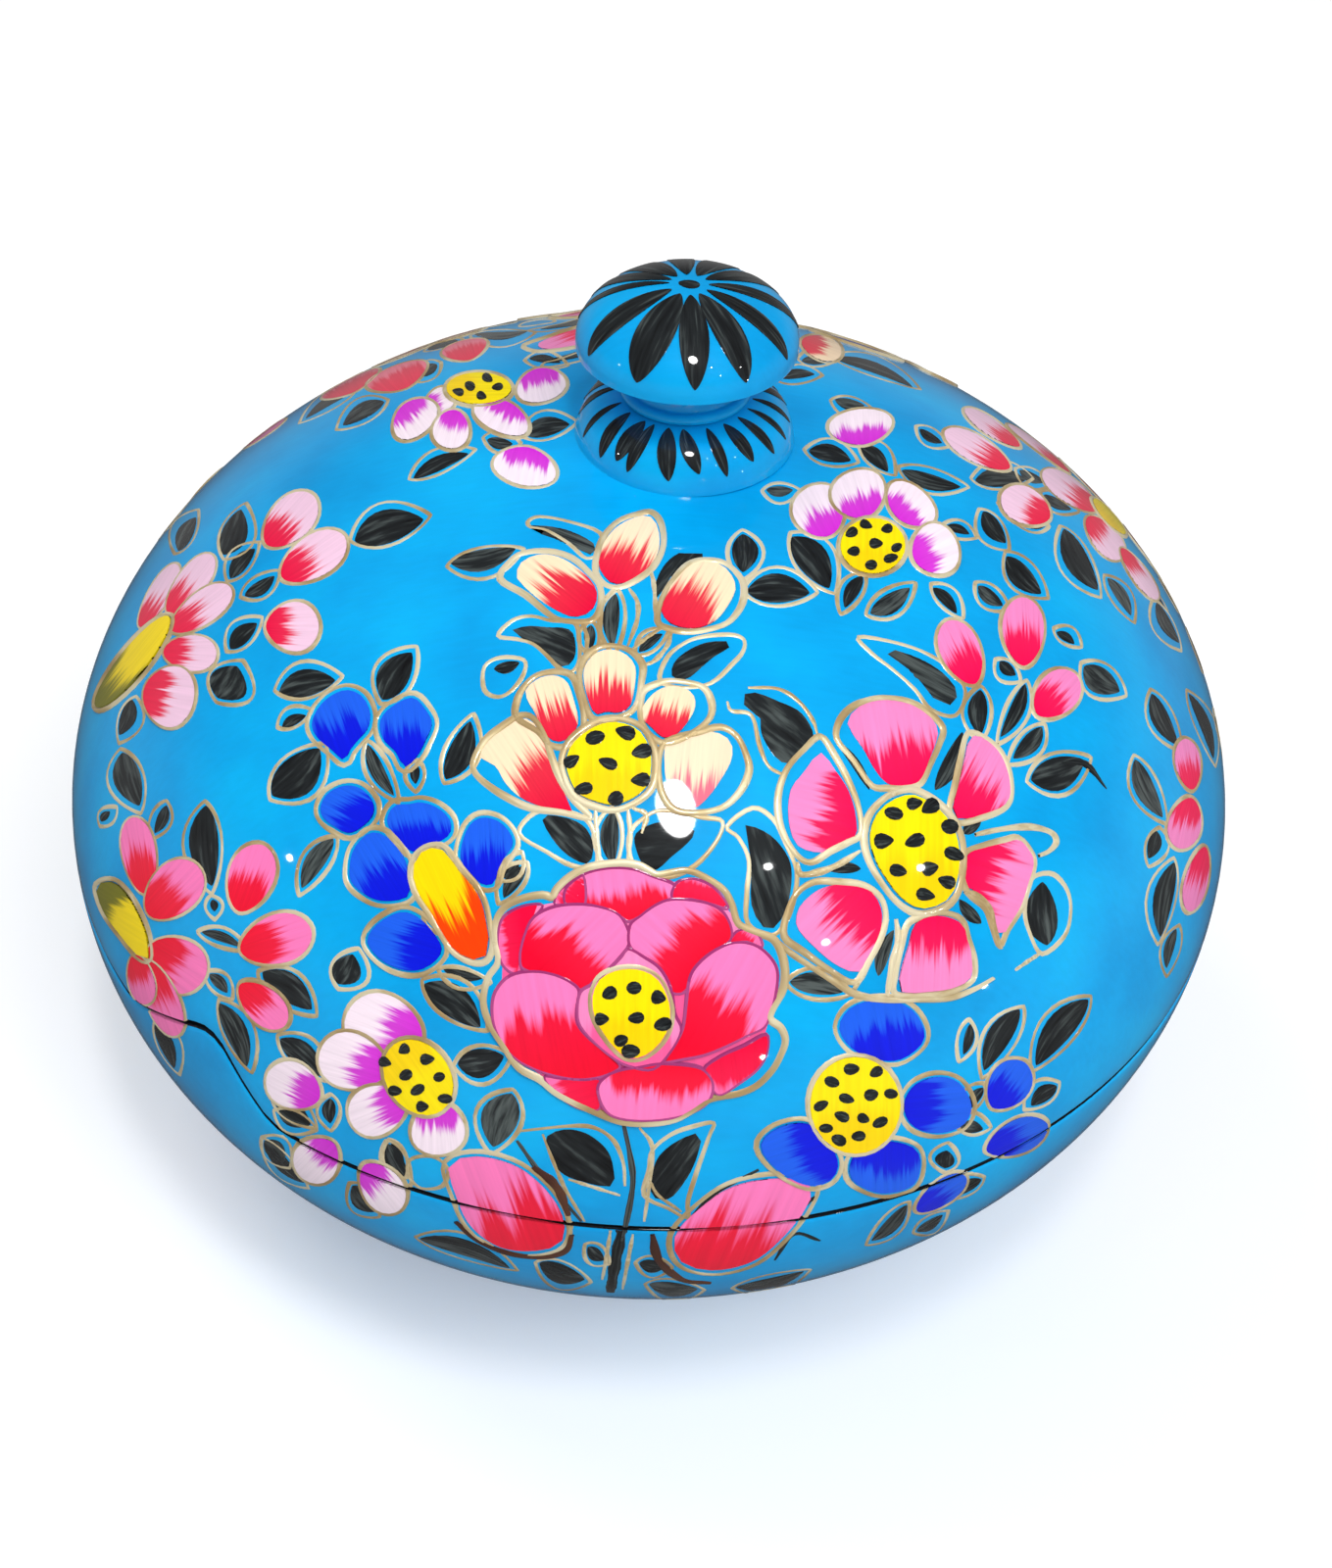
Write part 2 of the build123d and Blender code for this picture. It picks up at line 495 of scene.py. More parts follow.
def area_lamp(name, place, power, width, height):
    """An oval lamp that looks at the ball, its height along the meridian."""
    data = bpy.data.lights.new(name, "AREA")
    data.shape = "ELLIPSE"
    data.size = width * metres
    data.size_y = height * metres
    data.energy = power
    lamp = placed(name, data)
    direction = (place - ball_centre) / np.linalg.norm(place - ball_centre)
    side = np.cross([0.0, 0.0, 1.0], direction)
    side /= np.linalg.norm(side)
    facing = Matrix((side, np.cross(direction, side), direction)).transposed().to_4x4()
    lamp.matrix_world = Matrix.Translation(place * metres) @ facing
    return lamp


def mirrored_lamp(name, pixel, power, width, height):
    """A lamp where a mirror lying on the ball at the pixel would show it: twice the normal's share of the
    direction to the camera, less that direction."""
    spot = seen(np.array([pixel], float))[0]
    normal = seen(np.array([pixel], float), 1.0)[0] - spot
    to_camera = (camera_place - spot) / np.linalg.norm(camera_place - spot)
    towards = 2 * (normal @ to_camera) * normal - to_camera
    print(name, "towards", towards.round(2))
    area_lamp(name, spot + lamp_distance * towards, power, width, height)


mirrored_lamp("key_lamp", main_sparkle, key_power, key_width, key_height)
for number, pixel in enumerate(small_sparkles):
    mirrored_lamp(f"point_lamp_{number}", pixel, point_power, point_size, point_size)
for lamp_name, (lamp_place, lamp_power) in soft_lamps.items():
    soft_lamp = area_lamp(lamp_name, np.array(lamp_place), lamp_power, soft_size, soft_size)
    soft_lamp.visible_glossy = False

# %% [markdown]
# ## The saw cut
# The box was sawn apart once it was dry. The saw wandered: it runs down a little towards the right and jumps
# over a tongue at the front left, which makes bowl and lid meet in one place only. The cut is a height over
# the ground plan, a leaning plane plus the tongue's outline, and everything that lies across it, skin and
# paint alike, asks this one function.

# %% The cut's height
flat_run = 40.0
arc_points = 7


def tongue_outline():
    """The tongue in its own plane: straight flanks joined by arcs of one radius, as points for a table."""
    corners = np.array([(-flat_run, 0.0), *tongue_corners, (flat_run, 0.0)])
    points = [corners[0]]
    for before, corner, after in zip(corners, corners[1:], corners[2:]):
        inward = (before - corner) / np.linalg.norm(before - corner)
        outward = (after - corner) / np.linalg.norm(after - corner)
        half_angle = np.arccos(np.clip(inward @ outward, -1, 1)) / 2
        reach = tongue_round / np.tan(half_angle)
        centre_line = (inward + outward) / np.linalg.norm(inward + outward)
        centre = corner + centre_line * tongue_round / np.sin(half_angle)
        share = np.linspace(0, 1, arc_points)[:, None]
        chord = (corner + inward * reach) * (1 - share) + (corner + outward * reach) * share
        spoke = chord - centre
        points.extend(centre + spoke / np.linalg.norm(spoke, axis=1, keepdims=True) * tongue_round)
    return np.array([*points, corners[-1]])


tongue = tongue_outline()


def cut_height(x, y):
    """Height of the saw cut's middle over a point of the ground plan, in millimetres."""
    across = y * np.cos(tongue_azimuth) - x * np.sin(tongue_azimuth)
    outward = x * np.cos(tongue_azimuth) + y * np.sin(tongue_azimuth)
    rise = np.where(outward > 0, np.interp(across, tongue[:, 0], tongue[:, 1]), 0.0)
    return seam_height - np.tan(seam_lean) * x + rise


print("the tongue's top is", round(tongue[:, 1].max(), 2), "mm over the cut")

# %% [markdown]
# ## Bowl and lid
# Each half is one closed skin: over the outside, round the sawn edge, and back along the inside. It is worked
# out as a grid with one column for each direction round the axis and one row for each step along the wall.
# Only the rows next to the cut know about the cut; the others are shared out evenly between it and the crown
# or the foot. The sawn edges are rubbed round, the bowl's more than the lid's, and the inside and the edges
# are black.

# %% Skins
columns = 288
azimuths = np.linspace(-np.pi, np.pi, columns, endpoint=False)
settling_rounds = 12
bend_points = 5
lid_edge_round = 0.2
bowl_edge_round = 0.45
inner_edge_round = 0.3
foot_round = 0.45
foot_steps = ((0.0, 0.0), (8.0, 0.0), (16.0, 0.0), (20.4, 0.0), (20.95, 0.06), (21.35, 0.2))
lid_rows, lid_inner_rows = 46, 24
bowl_rows, bowl_inner_rows = 40, 22
corner_rows = 7
corner_up, corner_in = 0.55, 0.75
floor_rings = (8.0, 0.0)
lid_edge_painted, bowl_edge_painted = 4, 2


def ring_at(radius, height):
    """Points round the axis, from a radius and a height, or from one of each for every direction."""
    level = height + 0 * azimuths
    return np.stack([radius * np.cos(azimuths), radius * np.sin(azimuths), level], -1)


def wall_at(height_over_cut, inset):
    """Points round the wall, inset from the outside, at a height over the cut. The radius follows from the
    height and the height from the radius, so a few rounds of each settle both."""
    radius, half = body_radius - inset, body_half_height - inset
    height = np.full(columns, seam_height)
    for _ in range(settling_rounds):
        ring = radius * np.sqrt(1 - ((height - widest_height) / half) ** 2)
        height = cut_height(ring * np.cos(azimuths), ring * np.sin(azimuths)) + height_over_cut
    return ring_at(ring, height)


def wall_between(edge, latitude, inset, rows):
    """Rows of the wall from an edge ring to a latitude, evenly spaced in latitude on the inset ball."""
    radius, half = body_radius - inset, body_half_height - inset
    start = np.arcsin(np.clip((edge[:, 2] - widest_height) / half, -1, 1))
    share = np.linspace(0, 1, rows + 1)[1:, None]
    lat = start * (1 - share) + latitude * share
    return ring_at(radius * np.cos(lat), widest_height + half * np.sin(lat))


def sawn_edge(side, outer_round):
    """Rows over the sawn edge, from outside to inside: two quarter circles with the flat cut between."""
    turn = np.linspace(0, np.pi / 2, bend_points)
    near, far = 1 - np.cos(turn), 1 - np.sin(turn)
    insets = np.concatenate([outer_round * near, shell_wall - inner_edge_round * far])
    rises = np.concatenate([outer_round * far, inner_edge_round * near])
    return np.array([wall_at(side * (saw_kerf / 2 + rise), inset) for inset, rise in zip(insets, rises)])


def skin(name, rows, slots, materials, body, closed=False):
    """Makes a closed mesh from a grid of rows. The first and last rows are single points or, when the grid
    is closed, the last row joins the first. Each row's faces take the material that slots gives."""
    row_count, count = rows.shape[:2]
    here = np.arange(count)
    there = np.roll(here, -1)
    faces, face_slots = [], []
    for number in range(row_count if closed else row_count - 1):
        low = number * count
        high = (number + 1) % row_count * count
        ring = np.stack([low + here, low + there, high + there, high + here], 1)
        faces.extend(ring.tolist())
        face_slots.extend([slots[number]] * count)
    mesh = bpy.data.meshes.new(name)
    mesh.from_pydata((rows.reshape(-1, 3) * metres).tolist(), [], faces)
    for material in materials:
        mesh.materials.append(material)
    mesh.polygons.foreach_set("material_index", np.array(face_slots, np.int32))
    mesh.polygons.foreach_set("use_smooth", np.ones(len(faces), bool))
    solid = bmesh.new()
    solid.from_mesh(mesh)
    bmesh.ops.remove_doubles(solid, verts=solid.verts, dist=1e-7)
    bmesh.ops.recalc_face_normals(solid, faces=solid.faces)
    solid.to_mesh(mesh)
    solid.free()
    piece = placed(name, mesh)
    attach(piece, body)
    print(name, len(mesh.vertices), "points")
    return piece


def lid_skin():
    """Crown, outside, sawn edge, inside, and the inside's crown."""
    edge = sawn_edge(1, lid_edge_round)
    outside = wall_between(edge[0], np.pi / 2, 0.0, lid_rows)[::-1]
    inside = wall_between(edge[-1], np.pi / 2, shell_wall, lid_inner_rows)
    rows = np.concatenate([outside, edge, inside])
    painted = len(outside) + lid_edge_painted
    slots = [0] * painted + [1] * (len(rows) - painted)
    return skin("lid_shell_skin", rows, slots, [ground, black], "lid")


def bowl_skin():
    """Underside, outside up to the sawn edge, inside wall, round corner and floor. The corner is a parabola
    from the wall to the floor, pulled towards the point where the two would meet."""
    edge = sawn_edge(-1, bowl_edge_round)
    foot_latitude = -np.arcsin((widest_height - foot_round) / body_half_height)
    outside = wall_between(edge[0], foot_latitude, 0.0, bowl_rows)[::-1]
    under = [ring_at(radius, height) for radius, height in foot_steps]
    inner_half = body_half_height - shell_wall
    corner_drop = widest_height - floor_thickness
    corner_radius = (body_radius - shell_wall) * np.sqrt(1 - (corner_drop / inner_half) ** 2)
    wall_latitude = -np.arcsin((corner_drop - corner_up * floor_round) / inner_half)
    inside = wall_between(edge[-1], wall_latitude, shell_wall, bowl_inner_rows)
    wall_end = (np.hypot(inside[-1, 0, 0], inside[-1, 0, 1]), inside[-1, 0, 2])
    share = np.linspace(0, 1, corner_rows + 1)[1:]
    floor_edge = corner_radius - corner_in * floor_round
    first, middle, last = (1 - share) ** 2, 2 * share * (1 - share), share**2
    bend_radius = first * wall_end[0] + middle * corner_radius + last * floor_edge
    bend_height = first * wall_end[1] + (middle + last) * floor_thickness
    corner = [ring_at(radius, height) for radius, height in zip(bend_radius, bend_height)]
    floor = [ring_at(radius, floor_thickness) for radius in floor_rings]
    rows = np.concatenate([under, outside, edge, inside, corner, floor])
    painted = len(under) + len(outside) + bowl_edge_painted
    slots = [0] * painted + [1] * (len(rows) - painted)
    return skin("base_shell_skin", rows, slots, [ground, black], "base")


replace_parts(lid_skin(), "lid_shell")
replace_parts(bowl_skin(), "base_shell")

# %% [markdown]
# ## The band inside
# A strip of pasteboard pasted round the inside of the bowl stands up into the lid. It is the same idea on a
# smaller scale: a ring-shaped grid whose section is the strip, thicker where it is pasted to the wall, with
# a rounded upper edge.

# %% Band
collar_thickness = 1.5
collar_depth = 6.0
collar_reach = 8.5
collar_clearance = 0.45
paste_line = 0.15
collar_edge_round = 0.6
pasted_rows, standing_rows, inner_rows = 8, 10, 16


def band_ring(height, inset):
    """A level ring on the inset ball."""
    radius, half = body_radius - inset, body_half_height - inset
    return ring_at(radius * np.sqrt(1 - ((height - widest_height) / half) ** 2), height)


def band():
    """The band's section as (height, inset) steps, up the outside, over the top and down the inside."""
    low, high = seam_height - collar_depth, seam_height + collar_reach
    step = seam_height - body_radius * np.tan(seam_lean) - saw_kerf
    outer, inner = shell_wall + collar_clearance, shell_wall + collar_clearance + collar_thickness
    turn = np.linspace(0, np.pi / 2, bend_points)
    lip = collar_edge_round
    section = [(height, shell_wall + paste_line) for height in np.linspace(low, step, pasted_rows)]
    section += [(height, outer) for height in np.linspace(step, high - lip, standing_rows)]
    section += [(high - lip + lip * np.sin(t), outer + lip * (1 - np.cos(t))) for t in turn[1:]]
    section += [(high - lip + lip * np.cos(t), inner - lip * (1 - np.sin(t))) for t in turn[:-1]]
    section += [(height, inner) for height in np.linspace(high - lip, low, inner_rows)]
    rows = np.array([band_ring(height, inset) for height, inset in section])
    return skin("locating_band", rows, [0] * len(rows), [black], "base", closed=True)


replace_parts(band(), "locating_collar")

# %% [markdown]
# ## The turned knob
# The knob came off a lathe, so it is a profile carried round an axis: a flared foot, a small bead, a waist,
# and a mushroom cap. Sharp corners don't survive three coats of paint, so the profile's corners are cut back
# twice, each time at a quarter of the side, which rounds them. Under the foot the rows follow the ball.

# %% Knob
foot_radius = 8.7
foot_skirt = 0.6
foot_rise = 3.3
foot_bulge = 1.1
bead_radius = 5.15
bead_rise = 0.9
neck_radius = 4.4
neck_top = 5.4
cove_rise = 2.2
cap_radius = 8.6
cap_edge = 0.5
cap_dome = 4.7
tenon_radius = 2.5
tenon_proud = 0.5
tenon_round = 0.15
corner_cut = 0.25


def bowed(start, end, sag, count):
    """Points from start to end, pushed out sideways by a parabola of the given sag."""
    start, end = np.array(start), np.array(end)
    share = np.linspace(0, 1, count)[:, None]
    along = end - start
    side = np.array([-along[1], along[0]]) / np.linalg.norm(along)
    return start + along * share - side * sag * 4 * share * (1 - share)


def quarter(centre, radius, rise, first, last, count):
    """Points on an ellipse from one angle to another."""
    angle = np.radians(np.linspace(first, last, count))
    return np.stack([centre[0] + radius * np.cos(angle), centre[1] + rise * np.sin(angle)], -1)


def turned_profile():
    """Radius and height of the knob's outside, from the foot's edge up to the middle of the cap."""
    bead_core = bead_radius - bead_rise / 2
    cap_low = neck_top + cove_rise
    parts = [
        bowed((foot_radius, -foot_skirt), (bead_core, foot_rise), foot_bulge, 16),
        quarter((bead_core, foot_rise + bead_rise / 2), bead_rise / 2, bead_rise / 2, -90, 90, 9),
        np.array([(neck_radius, foot_rise + bead_rise), (neck_radius, neck_top)]),
        quarter((cap_radius, neck_top), cap_radius - neck_radius, cove_rise, 180, 90, 12),
        np.array([(cap_radius, cap_low), (cap_radius, cap_low + cap_edge)]),
        quarter((0.0, cap_low + cap_edge), cap_radius, cap_dome, 0, 90, 26),
    ]
    profile = np.concatenate(parts)
    for _ in range(2):
        before, after = profile[:-1], profile[1:]
        early = (1 - corner_cut) * before + corner_cut * after
        late = corner_cut * before + (1 - corner_cut) * after
        cut = np.stack([early, late], 1).reshape(-1, 2)
        profile = np.concatenate([profile[:1], cut, profile[-1:]])
    steps = np.linalg.norm(np.diff(profile, axis=0), axis=1)
    return profile[np.concatenate([[True], steps > 1e-6])]


knob_profile = turned_profile()
knob_run = np.concatenate([[0.0], np.cumsum(np.linalg.norm(np.diff(knob_profile, axis=0), axis=1))])
knob_columns = 120
knob_azimuths = np.linspace(-np.pi, np.pi, knob_columns, endpoint=False)


def knob_ring(radius, height=None):
    """A ring round the knob's axis, level at a height over the crown or, with none, lying on the ball."""
    x = knob_offset + radius * np.cos(knob_azimuths)
    y = radius * np.sin(knob_azimuths)
    if height is None:
        gap = ball_axes + glue_line
        z = widest_height + gap[2] * np.sqrt(1 - (x**2 + y**2) / gap[0] ** 2)
    else:
        z = np.full(knob_columns, crown_height + height)
    return np.stack([x, y, z], -1)


def knob_skin():
    """Tenon, hollow under the foot, and the turned outside."""
    crown_fall = body_half_height * (1 - np.sqrt(1 - (knob_offset / body_radius) ** 2))
    tenon_end = -crown_fall - shell_wall - tenon_proud
    rows = [knob_ring(0.0, tenon_end), knob_ring(tenon_radius - tenon_round, tenon_end)]
    rows.append(knob_ring(tenon_radius, tenon_end + tenon_round))
    rows += [knob_ring(radius) for radius in (tenon_radius, 4.5, 6.5, foot_radius - 0.05)]
    rows += [knob_ring(radius, height) for radius, height in knob_profile]
    rows = np.array(rows)
    return skin("turned_knob", rows, [0] * len(rows), [ground], "lid")


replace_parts(knob_skin(), "knob")
print("the knob stands", round(knob_profile[:, 1].max(), 2), "mm over the crown")

# %% [markdown]
# ## One brush stroke
# A petal, a leaf, a dot and a flower's heart are all one shape: a round blob of paint, stretched from a root
# to a tip, fuller towards one end, drawn to a point if it is a leaf, and bent if the hand turned. So one
# formula warps a unit disc. The disc is a square grid pressed into a circle, which has no pinched middle, and
# every blob gets only a few dozen faces. The petals of the large flowers have edges of their own, and there
# the same disc is stretched until it fills a drawn edge. Either way the blob is a closed pad: the sheet that
# shows, a low wall round it, and a bottom under the skin of the box. Paint this thin must not look like a
# cushion, so every point keeps the direction of the surface it lies on, and that direction shades it.

# %% The shape of a blob
paint_sink = 0.05
line_mm = 0.44
line_swell = 0.14
ring_points = 30
rng = np.random.default_rng(8)


def pressed_grid(n):
    """A square grid pressed into a unit disc: x = u times the root of 1 - v²/2, and y the same way round."""
    u, v = np.meshgrid(np.linspace(-1, 1, n), np.linspace(-1, 1, n))
    return np.stack([u * np.sqrt(1 - v * v / 2), v * np.sqrt(1 - u * u / 2)], -1).reshape(-1, 2)


def grid_border(n):
    """The border points of an n by n grid, once round."""
    index = np.arange(n * n).reshape(n, n)
    return np.concatenate([index[0, :-1], index[:-1, -1], index[-1, :0:-1], index[:0:-1, 0]])


def warped(disc, stroke, egg=0.15, point=0.0, bend=0.0, grow=0.0):
    """Lays the disc's y along the line from root to tip and its x across, at the stroke's width times
    1 + egg·y, narrowed by (1 - y²) to half the power of the point, and bowed sideways by bend·(1 - y²).
    What it grows by is added all round."""
    root, tip, width = np.array(stroke[:2]), np.array(stroke[2:4]), stroke[4] + 2 * grow
    run = tip - root
    length = np.linalg.norm(run)
    along = run / length
    side = np.array([-along[1], along[0]])
    x, y = disc[:, 0], np.clip(disc[:, 1], -1, 1)
    half = width / 2 * (1 + egg * y) * (1 - y * y + 1e-9) ** (point / 2)
    centre = (root + tip) / 2 + np.outer(y * (length / 2 + grow), along)
    return centre + np.outer(x * half + bend * length * (1 - y * y), side)


def coat(points, normals, faces, along, look):
    """One painted thing: its mesh, where each point lies in the stroke, and its colours."""
    slot, root, tip, reach, teeth = look
    count = len(points)
    return {
        "points": points,
        "faces": faces,
        "slot": slot,
        "shine": normals,
        "stroke": np.column_stack([along, np.full(count, rng.random())]),
        "root": np.tile([*linear(root)[:3], reach], (count, 1)),
        "tip": np.tile([*linear(tip)[:3], teeth], (count, 1)),
    }


def pad(place, flat, along, look, lift, n):
    """A closed pad of paint over an n by n grid of flat points, on the surface that place gives."""
    rim = grid_border(n)
    level = place(flat, 0.0)
    normal = place(flat, 1.0) - level
    points = np.concatenate([level + lift * normal, (level - paint_sink * normal)[rim]])
    index = np.arange(n * n).reshape(n, n)
    sheet = np.stack([index[:-1, :-1], index[:-1, 1:], index[1:, 1:], index[1:, :-1]], -1).reshape(-1, 4)
    foot = n * n + np.arange(len(rim))
    wall = np.stack([rim, foot, np.roll(foot, -1), np.roll(rim, -1)], 1)
    faces = sheet.tolist() + wall.tolist() + [foot.tolist()]
    normals = np.concatenate([normal, normal[rim]])
    return coat(points, normals, faces, np.concatenate([along, along[rim]]), look)


def blob(place, stroke, look, lift, detail=7, **shape):
    """A pad in the warped shape of one stroke."""
    disc = pressed_grid(detail)
    return pad(place, warped(disc, stroke, **shape), (disc + 1) / 2, look, lift, detail)


# %% [markdown]
# ## One drawn line
# The gold line is a bead of paint about half a millimetre wide that stands just proud enough to feel. It is
# a low section of four points, a flat top between two sloping flanks, carried along its route. A closed
# route is the border of a blob, a little outside it, and an open one is a smooth curve through a few points.

# %% The shape of a line
def smooth_route(points, steps=6, closed=False):
    """A curve through the points: on each span the cubic whose slopes are half the neighbours' distance."""
    points = np.array(points, float)
    if closed:
        padded = np.concatenate([points[-1:], points, points[:2]])
    else:
        padded = np.concatenate([2 * points[:1] - points[1:2], points, 2 * points[-1:] - points[-2:-1]])
    p0, p1, p2, p3 = padded[:-3, None], padded[1:-2, None], padded[2:-1, None], padded[3:, None]
    t = np.linspace(0, 1, steps, endpoint=False)[None, :, None]
    curve = 0.5 * (2 * p1 + (p2 - p0) * t + (2 * p0 - 5 * p1 + 4 * p2 - p3) * t**2
                   + (3 * p1 - p0 - 3 * p2 + p3) * t**3)
    curve = curve.reshape(-1, 2)
    return curve if closed else np.concatenate([curve, points[-1:]])


def line(place, route, look, lift=0.05, width=line_mm, closed=False, taper=0.0):
    """A bead of paint along a route: side points at half the width and sunk, top points at a quarter of it.
    The width swells and shrinks three times along the route, and a taper narrows an open line towards its
    ends by the sine's power. The directions that shade it turn outwards, which makes the bead look round."""
    middle = place(route, 0.0)
    normal = place(route, 1.0) - middle
    if closed:
        heading = np.roll(middle, -1, 0) - np.roll(middle, 1, 0)
    else:
        heading = np.gradient(middle, axis=0)
    side = np.cross(normal, heading)
    side /= np.linalg.norm(side, axis=1, keepdims=True) + 1e-9
    count = len(route)
    share = np.linspace(0, 1, count)
    half = width / 2 * (1 + line_swell * np.sin(2 * np.pi * (3 * share + rng.random())))
    if not closed:
        half = half * np.maximum(np.sin(np.pi * np.clip(share, 0.02, 0.98)), 0.05) ** taper
    half = half[:, None]
    reach = side * half
    points = [middle - reach - normal * paint_sink, middle - reach * 0.5 + normal * lift,
              middle + reach * 0.5 + normal * lift, middle + reach - normal * paint_sink]
    normals = [0.8 * normal - 0.6 * side, 0.97 * normal - 0.25 * side,
               0.97 * normal + 0.25 * side, 0.8 * normal + 0.6 * side]
    here = 4 * np.arange(count if closed else count - 1)
    there = (here + 4) % (4 * count)
    faces = []
    for one, next_one in ((0, 1), (1, 2), (2, 3), (3, 0)):
        faces += np.stack([here + one, here + next_one, there + next_one, there + one], 1).tolist()
    if not closed:
        faces += [[3, 2, 1, 0], [4 * count - 4, 4 * count - 3, 4 * count - 2, 4 * count - 1]]
    along = np.stack([np.tile([0.0, 0.3, 0.7, 1.0], count), np.repeat(share, 4)], 1)
    shine = np.stack(normals, 1).reshape(-1, 3)
    return coat(np.stack(points, 1).reshape(-1, 3), shine, faces, along, look)


def ringed(place, stroke, look, lift, width=line_mm, **shape):
    """A closed line round a blob, outside it by the blob's grow."""
    angle = np.linspace(0, 2 * np.pi, ring_points, endpoint=False)
    route = warped(np.stack([np.sin(angle), -np.cos(angle)], 1), stroke, **shape)
    return line(place, route, look, lift, width, closed=True)


# %% [markdown]
# ## A petal with an edge of its own
# The large flowers' petals are wavy, so their edges were read off point by point. A smooth curve through the
# points is the edge, the disc is stretched until it fills it, and the line runs a little outside it.

# %% Filling and outlining an edge
filled_detail = 9


def outside(edge, grow):
    """The smooth closed edge, moved outwards by grow: the heading turned a quarter, away from the middle."""
    route = smooth_route(edge, 4, closed=True)
    heading = np.roll(route, -1, 0) - np.roll(route, 1, 0)
    heading /= np.linalg.norm(heading, axis=1, keepdims=True)
    out = np.column_stack([heading[:, 1], -heading[:, 0]])
    out *= np.sign(np.sum(out * (route - route.mean(0))))
    return route + grow * out


def filled(place, pull, edge, look, lift):
    """A pad that fills a drawn edge. Each point of the disc keeps its angle and its share of the way from
    the middle to the edge. The pull gives the root and the tip between which the brush was drawn."""
    route = smooth_route(edge, 4, closed=True)
    middle = route.mean(0)
    spokes = route - middle
    order = np.argsort(np.arctan2(spokes[:, 1], spokes[:, 0]))
    angles = np.arctan2(spokes[:, 1], spokes[:, 0])[order]
    disc = pressed_grid(filled_detail)
    angle = np.arctan2(disc[:, 1], disc[:, 0])
    reach = np.interp(angle, angles, np.linalg.norm(spokes, axis=1)[order], period=2 * np.pi)
    share = np.hypot(disc[:, 0], disc[:, 1]) * reach
    flat = middle + np.stack([share * np.cos(angle), share * np.sin(angle)], 1)
    root, tip = np.array(pull[:2]), np.array(pull[2:])
    run = tip - root
    offset = (flat - root) / (run @ run)
    across = offset @ np.array([-run[1], run[0]])
    along = np.stack([0.5 + across / np.ptp(across), offset @ run], 1)
    return pad(place, flat, along, look, lift, filled_detail)


# %% [markdown]
# ## From strokes to pieces
# Strokes that belong together are joined into one mesh. Where they cross the saw cut, they were sawn through
# with the box. A wavy cut is hard for a plane, so the mesh is first pushed straight: each point loses the
# cut's height under it, a plane cuts, the holes are filled, and the height goes back on.

# %% Joining and sawing
least_rest = 0.05


def joined_mesh(name, coats):
    """All the coats as one mesh in millimetres, with the stroke, root, tip and shine values on its points."""
    starts = np.cumsum([0] + [len(one["points"]) for one in coats[:-1]])
    faces = [[corner + int(start) for corner in face]
             for one, start in zip(coats, starts) for face in one["faces"]]
    mesh = bpy.data.meshes.new(name)
    mesh.from_pydata(np.concatenate([one["points"] for one in coats]).tolist(), [], faces)
    slots = np.concatenate([np.full(len(one["faces"]), one["slot"], np.int32) for one in coats])
    mesh.polygons.foreach_set("material_index", slots)
    mesh.polygons.foreach_set("use_smooth", np.ones(len(faces), bool))
    for label, kind, field in (("stroke", "FLOAT_VECTOR", "vector"), ("root", "FLOAT_COLOR", "color"),
                               ("tip", "FLOAT_COLOR", "color"), ("shine", "FLOAT_VECTOR", "vector")):
        values = np.concatenate([one[label] for one in coats]).astype(np.float32)
        mesh.attributes.new(label, kind, "POINT").data.foreach_set(field, values.ravel())
    return mesh


def point_values(mesh, label="position"):
    """A vector of every point of the mesh as an array."""
    values = np.empty(len(mesh.vertices) * 3)
    mesh.attributes[label].data.foreach_get("vector", values)
    return values.reshape(-1, 3)


def keep_one_side(mesh, side):
    """Cuts the mesh along the saw cut and keeps the lid's side for 1 or the bowl's for -1."""
    solid = bmesh.new()
    solid.from_mesh(mesh)
    cut = bmesh.ops.bisect_plane(
        solid,
        geom=solid.verts[:] + solid.edges[:] + solid.faces[:],
        plane_co=(0, 0, side * saw_kerf / 2),
        plane_no=(0, 0, side),
        clear_inner=True,
    )
    edges = [part for part in cut["geom_cut"] if isinstance(part, bmesh.types.BMEdge)]
    bmesh.ops.holes_fill(solid, edges=edges, sides=0)
    bmesh.ops.recalc_face_normals(solid, faces=solid.faces)
    solid.to_mesh(mesh)
    solid.free()


def laid(name, coats):
    """Makes the pieces of one painted group: one for the lid, one for the bowl, or both. A group that
    hardly reaches over the cut leaves nothing on that side."""
    for body, side in (("lid", 1), ("base", -1)):
        mesh = joined_mesh(f"{name}_on_{body}", coats)
        points = point_values(mesh)
        level = cut_height(points[:, 0], points[:, 1])
        if (side * (points[:, 2] - level)).max() < saw_kerf / 2 + least_rest:
            bpy.data.meshes.remove(mesh)
            continue
        points[:, 2] -= level
        mesh.vertices.foreach_set("co", points.ravel())
        keep_one_side(mesh, side)
        points = point_values(mesh)
        points[:, 2] += cut_height(points[:, 0], points[:, 1])
        mesh.vertices.foreach_set("co", (points * metres).ravel())
        shine = point_values(mesh, "shine")
        shine /= np.linalg.norm(shine, axis=1, keepdims=True)
        mesh.normals_split_custom_set_from_vertices(shine.tolist())
        mesh.attributes.remove(mesh.attributes["shine"])
        for paint in paints:
            mesh.materials.append(paint)
        piece = placed(mesh.name, mesh)
        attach(piece, body)
        print(piece.name, len(mesh.polygons), "faces")


# %% [markdown]
# ## Where a drawing can lie
# A drawing is a list of strokes in flat coordinates, and a place function carries it to the box. One reads
# the photograph, one an enlarged part of it, one unrolls any other spot of the ball, and one turns or mirrors
# what another one gives, so the back can be painted with the same bouquet as the front.

# %% Places
drawing_scale = 13.9


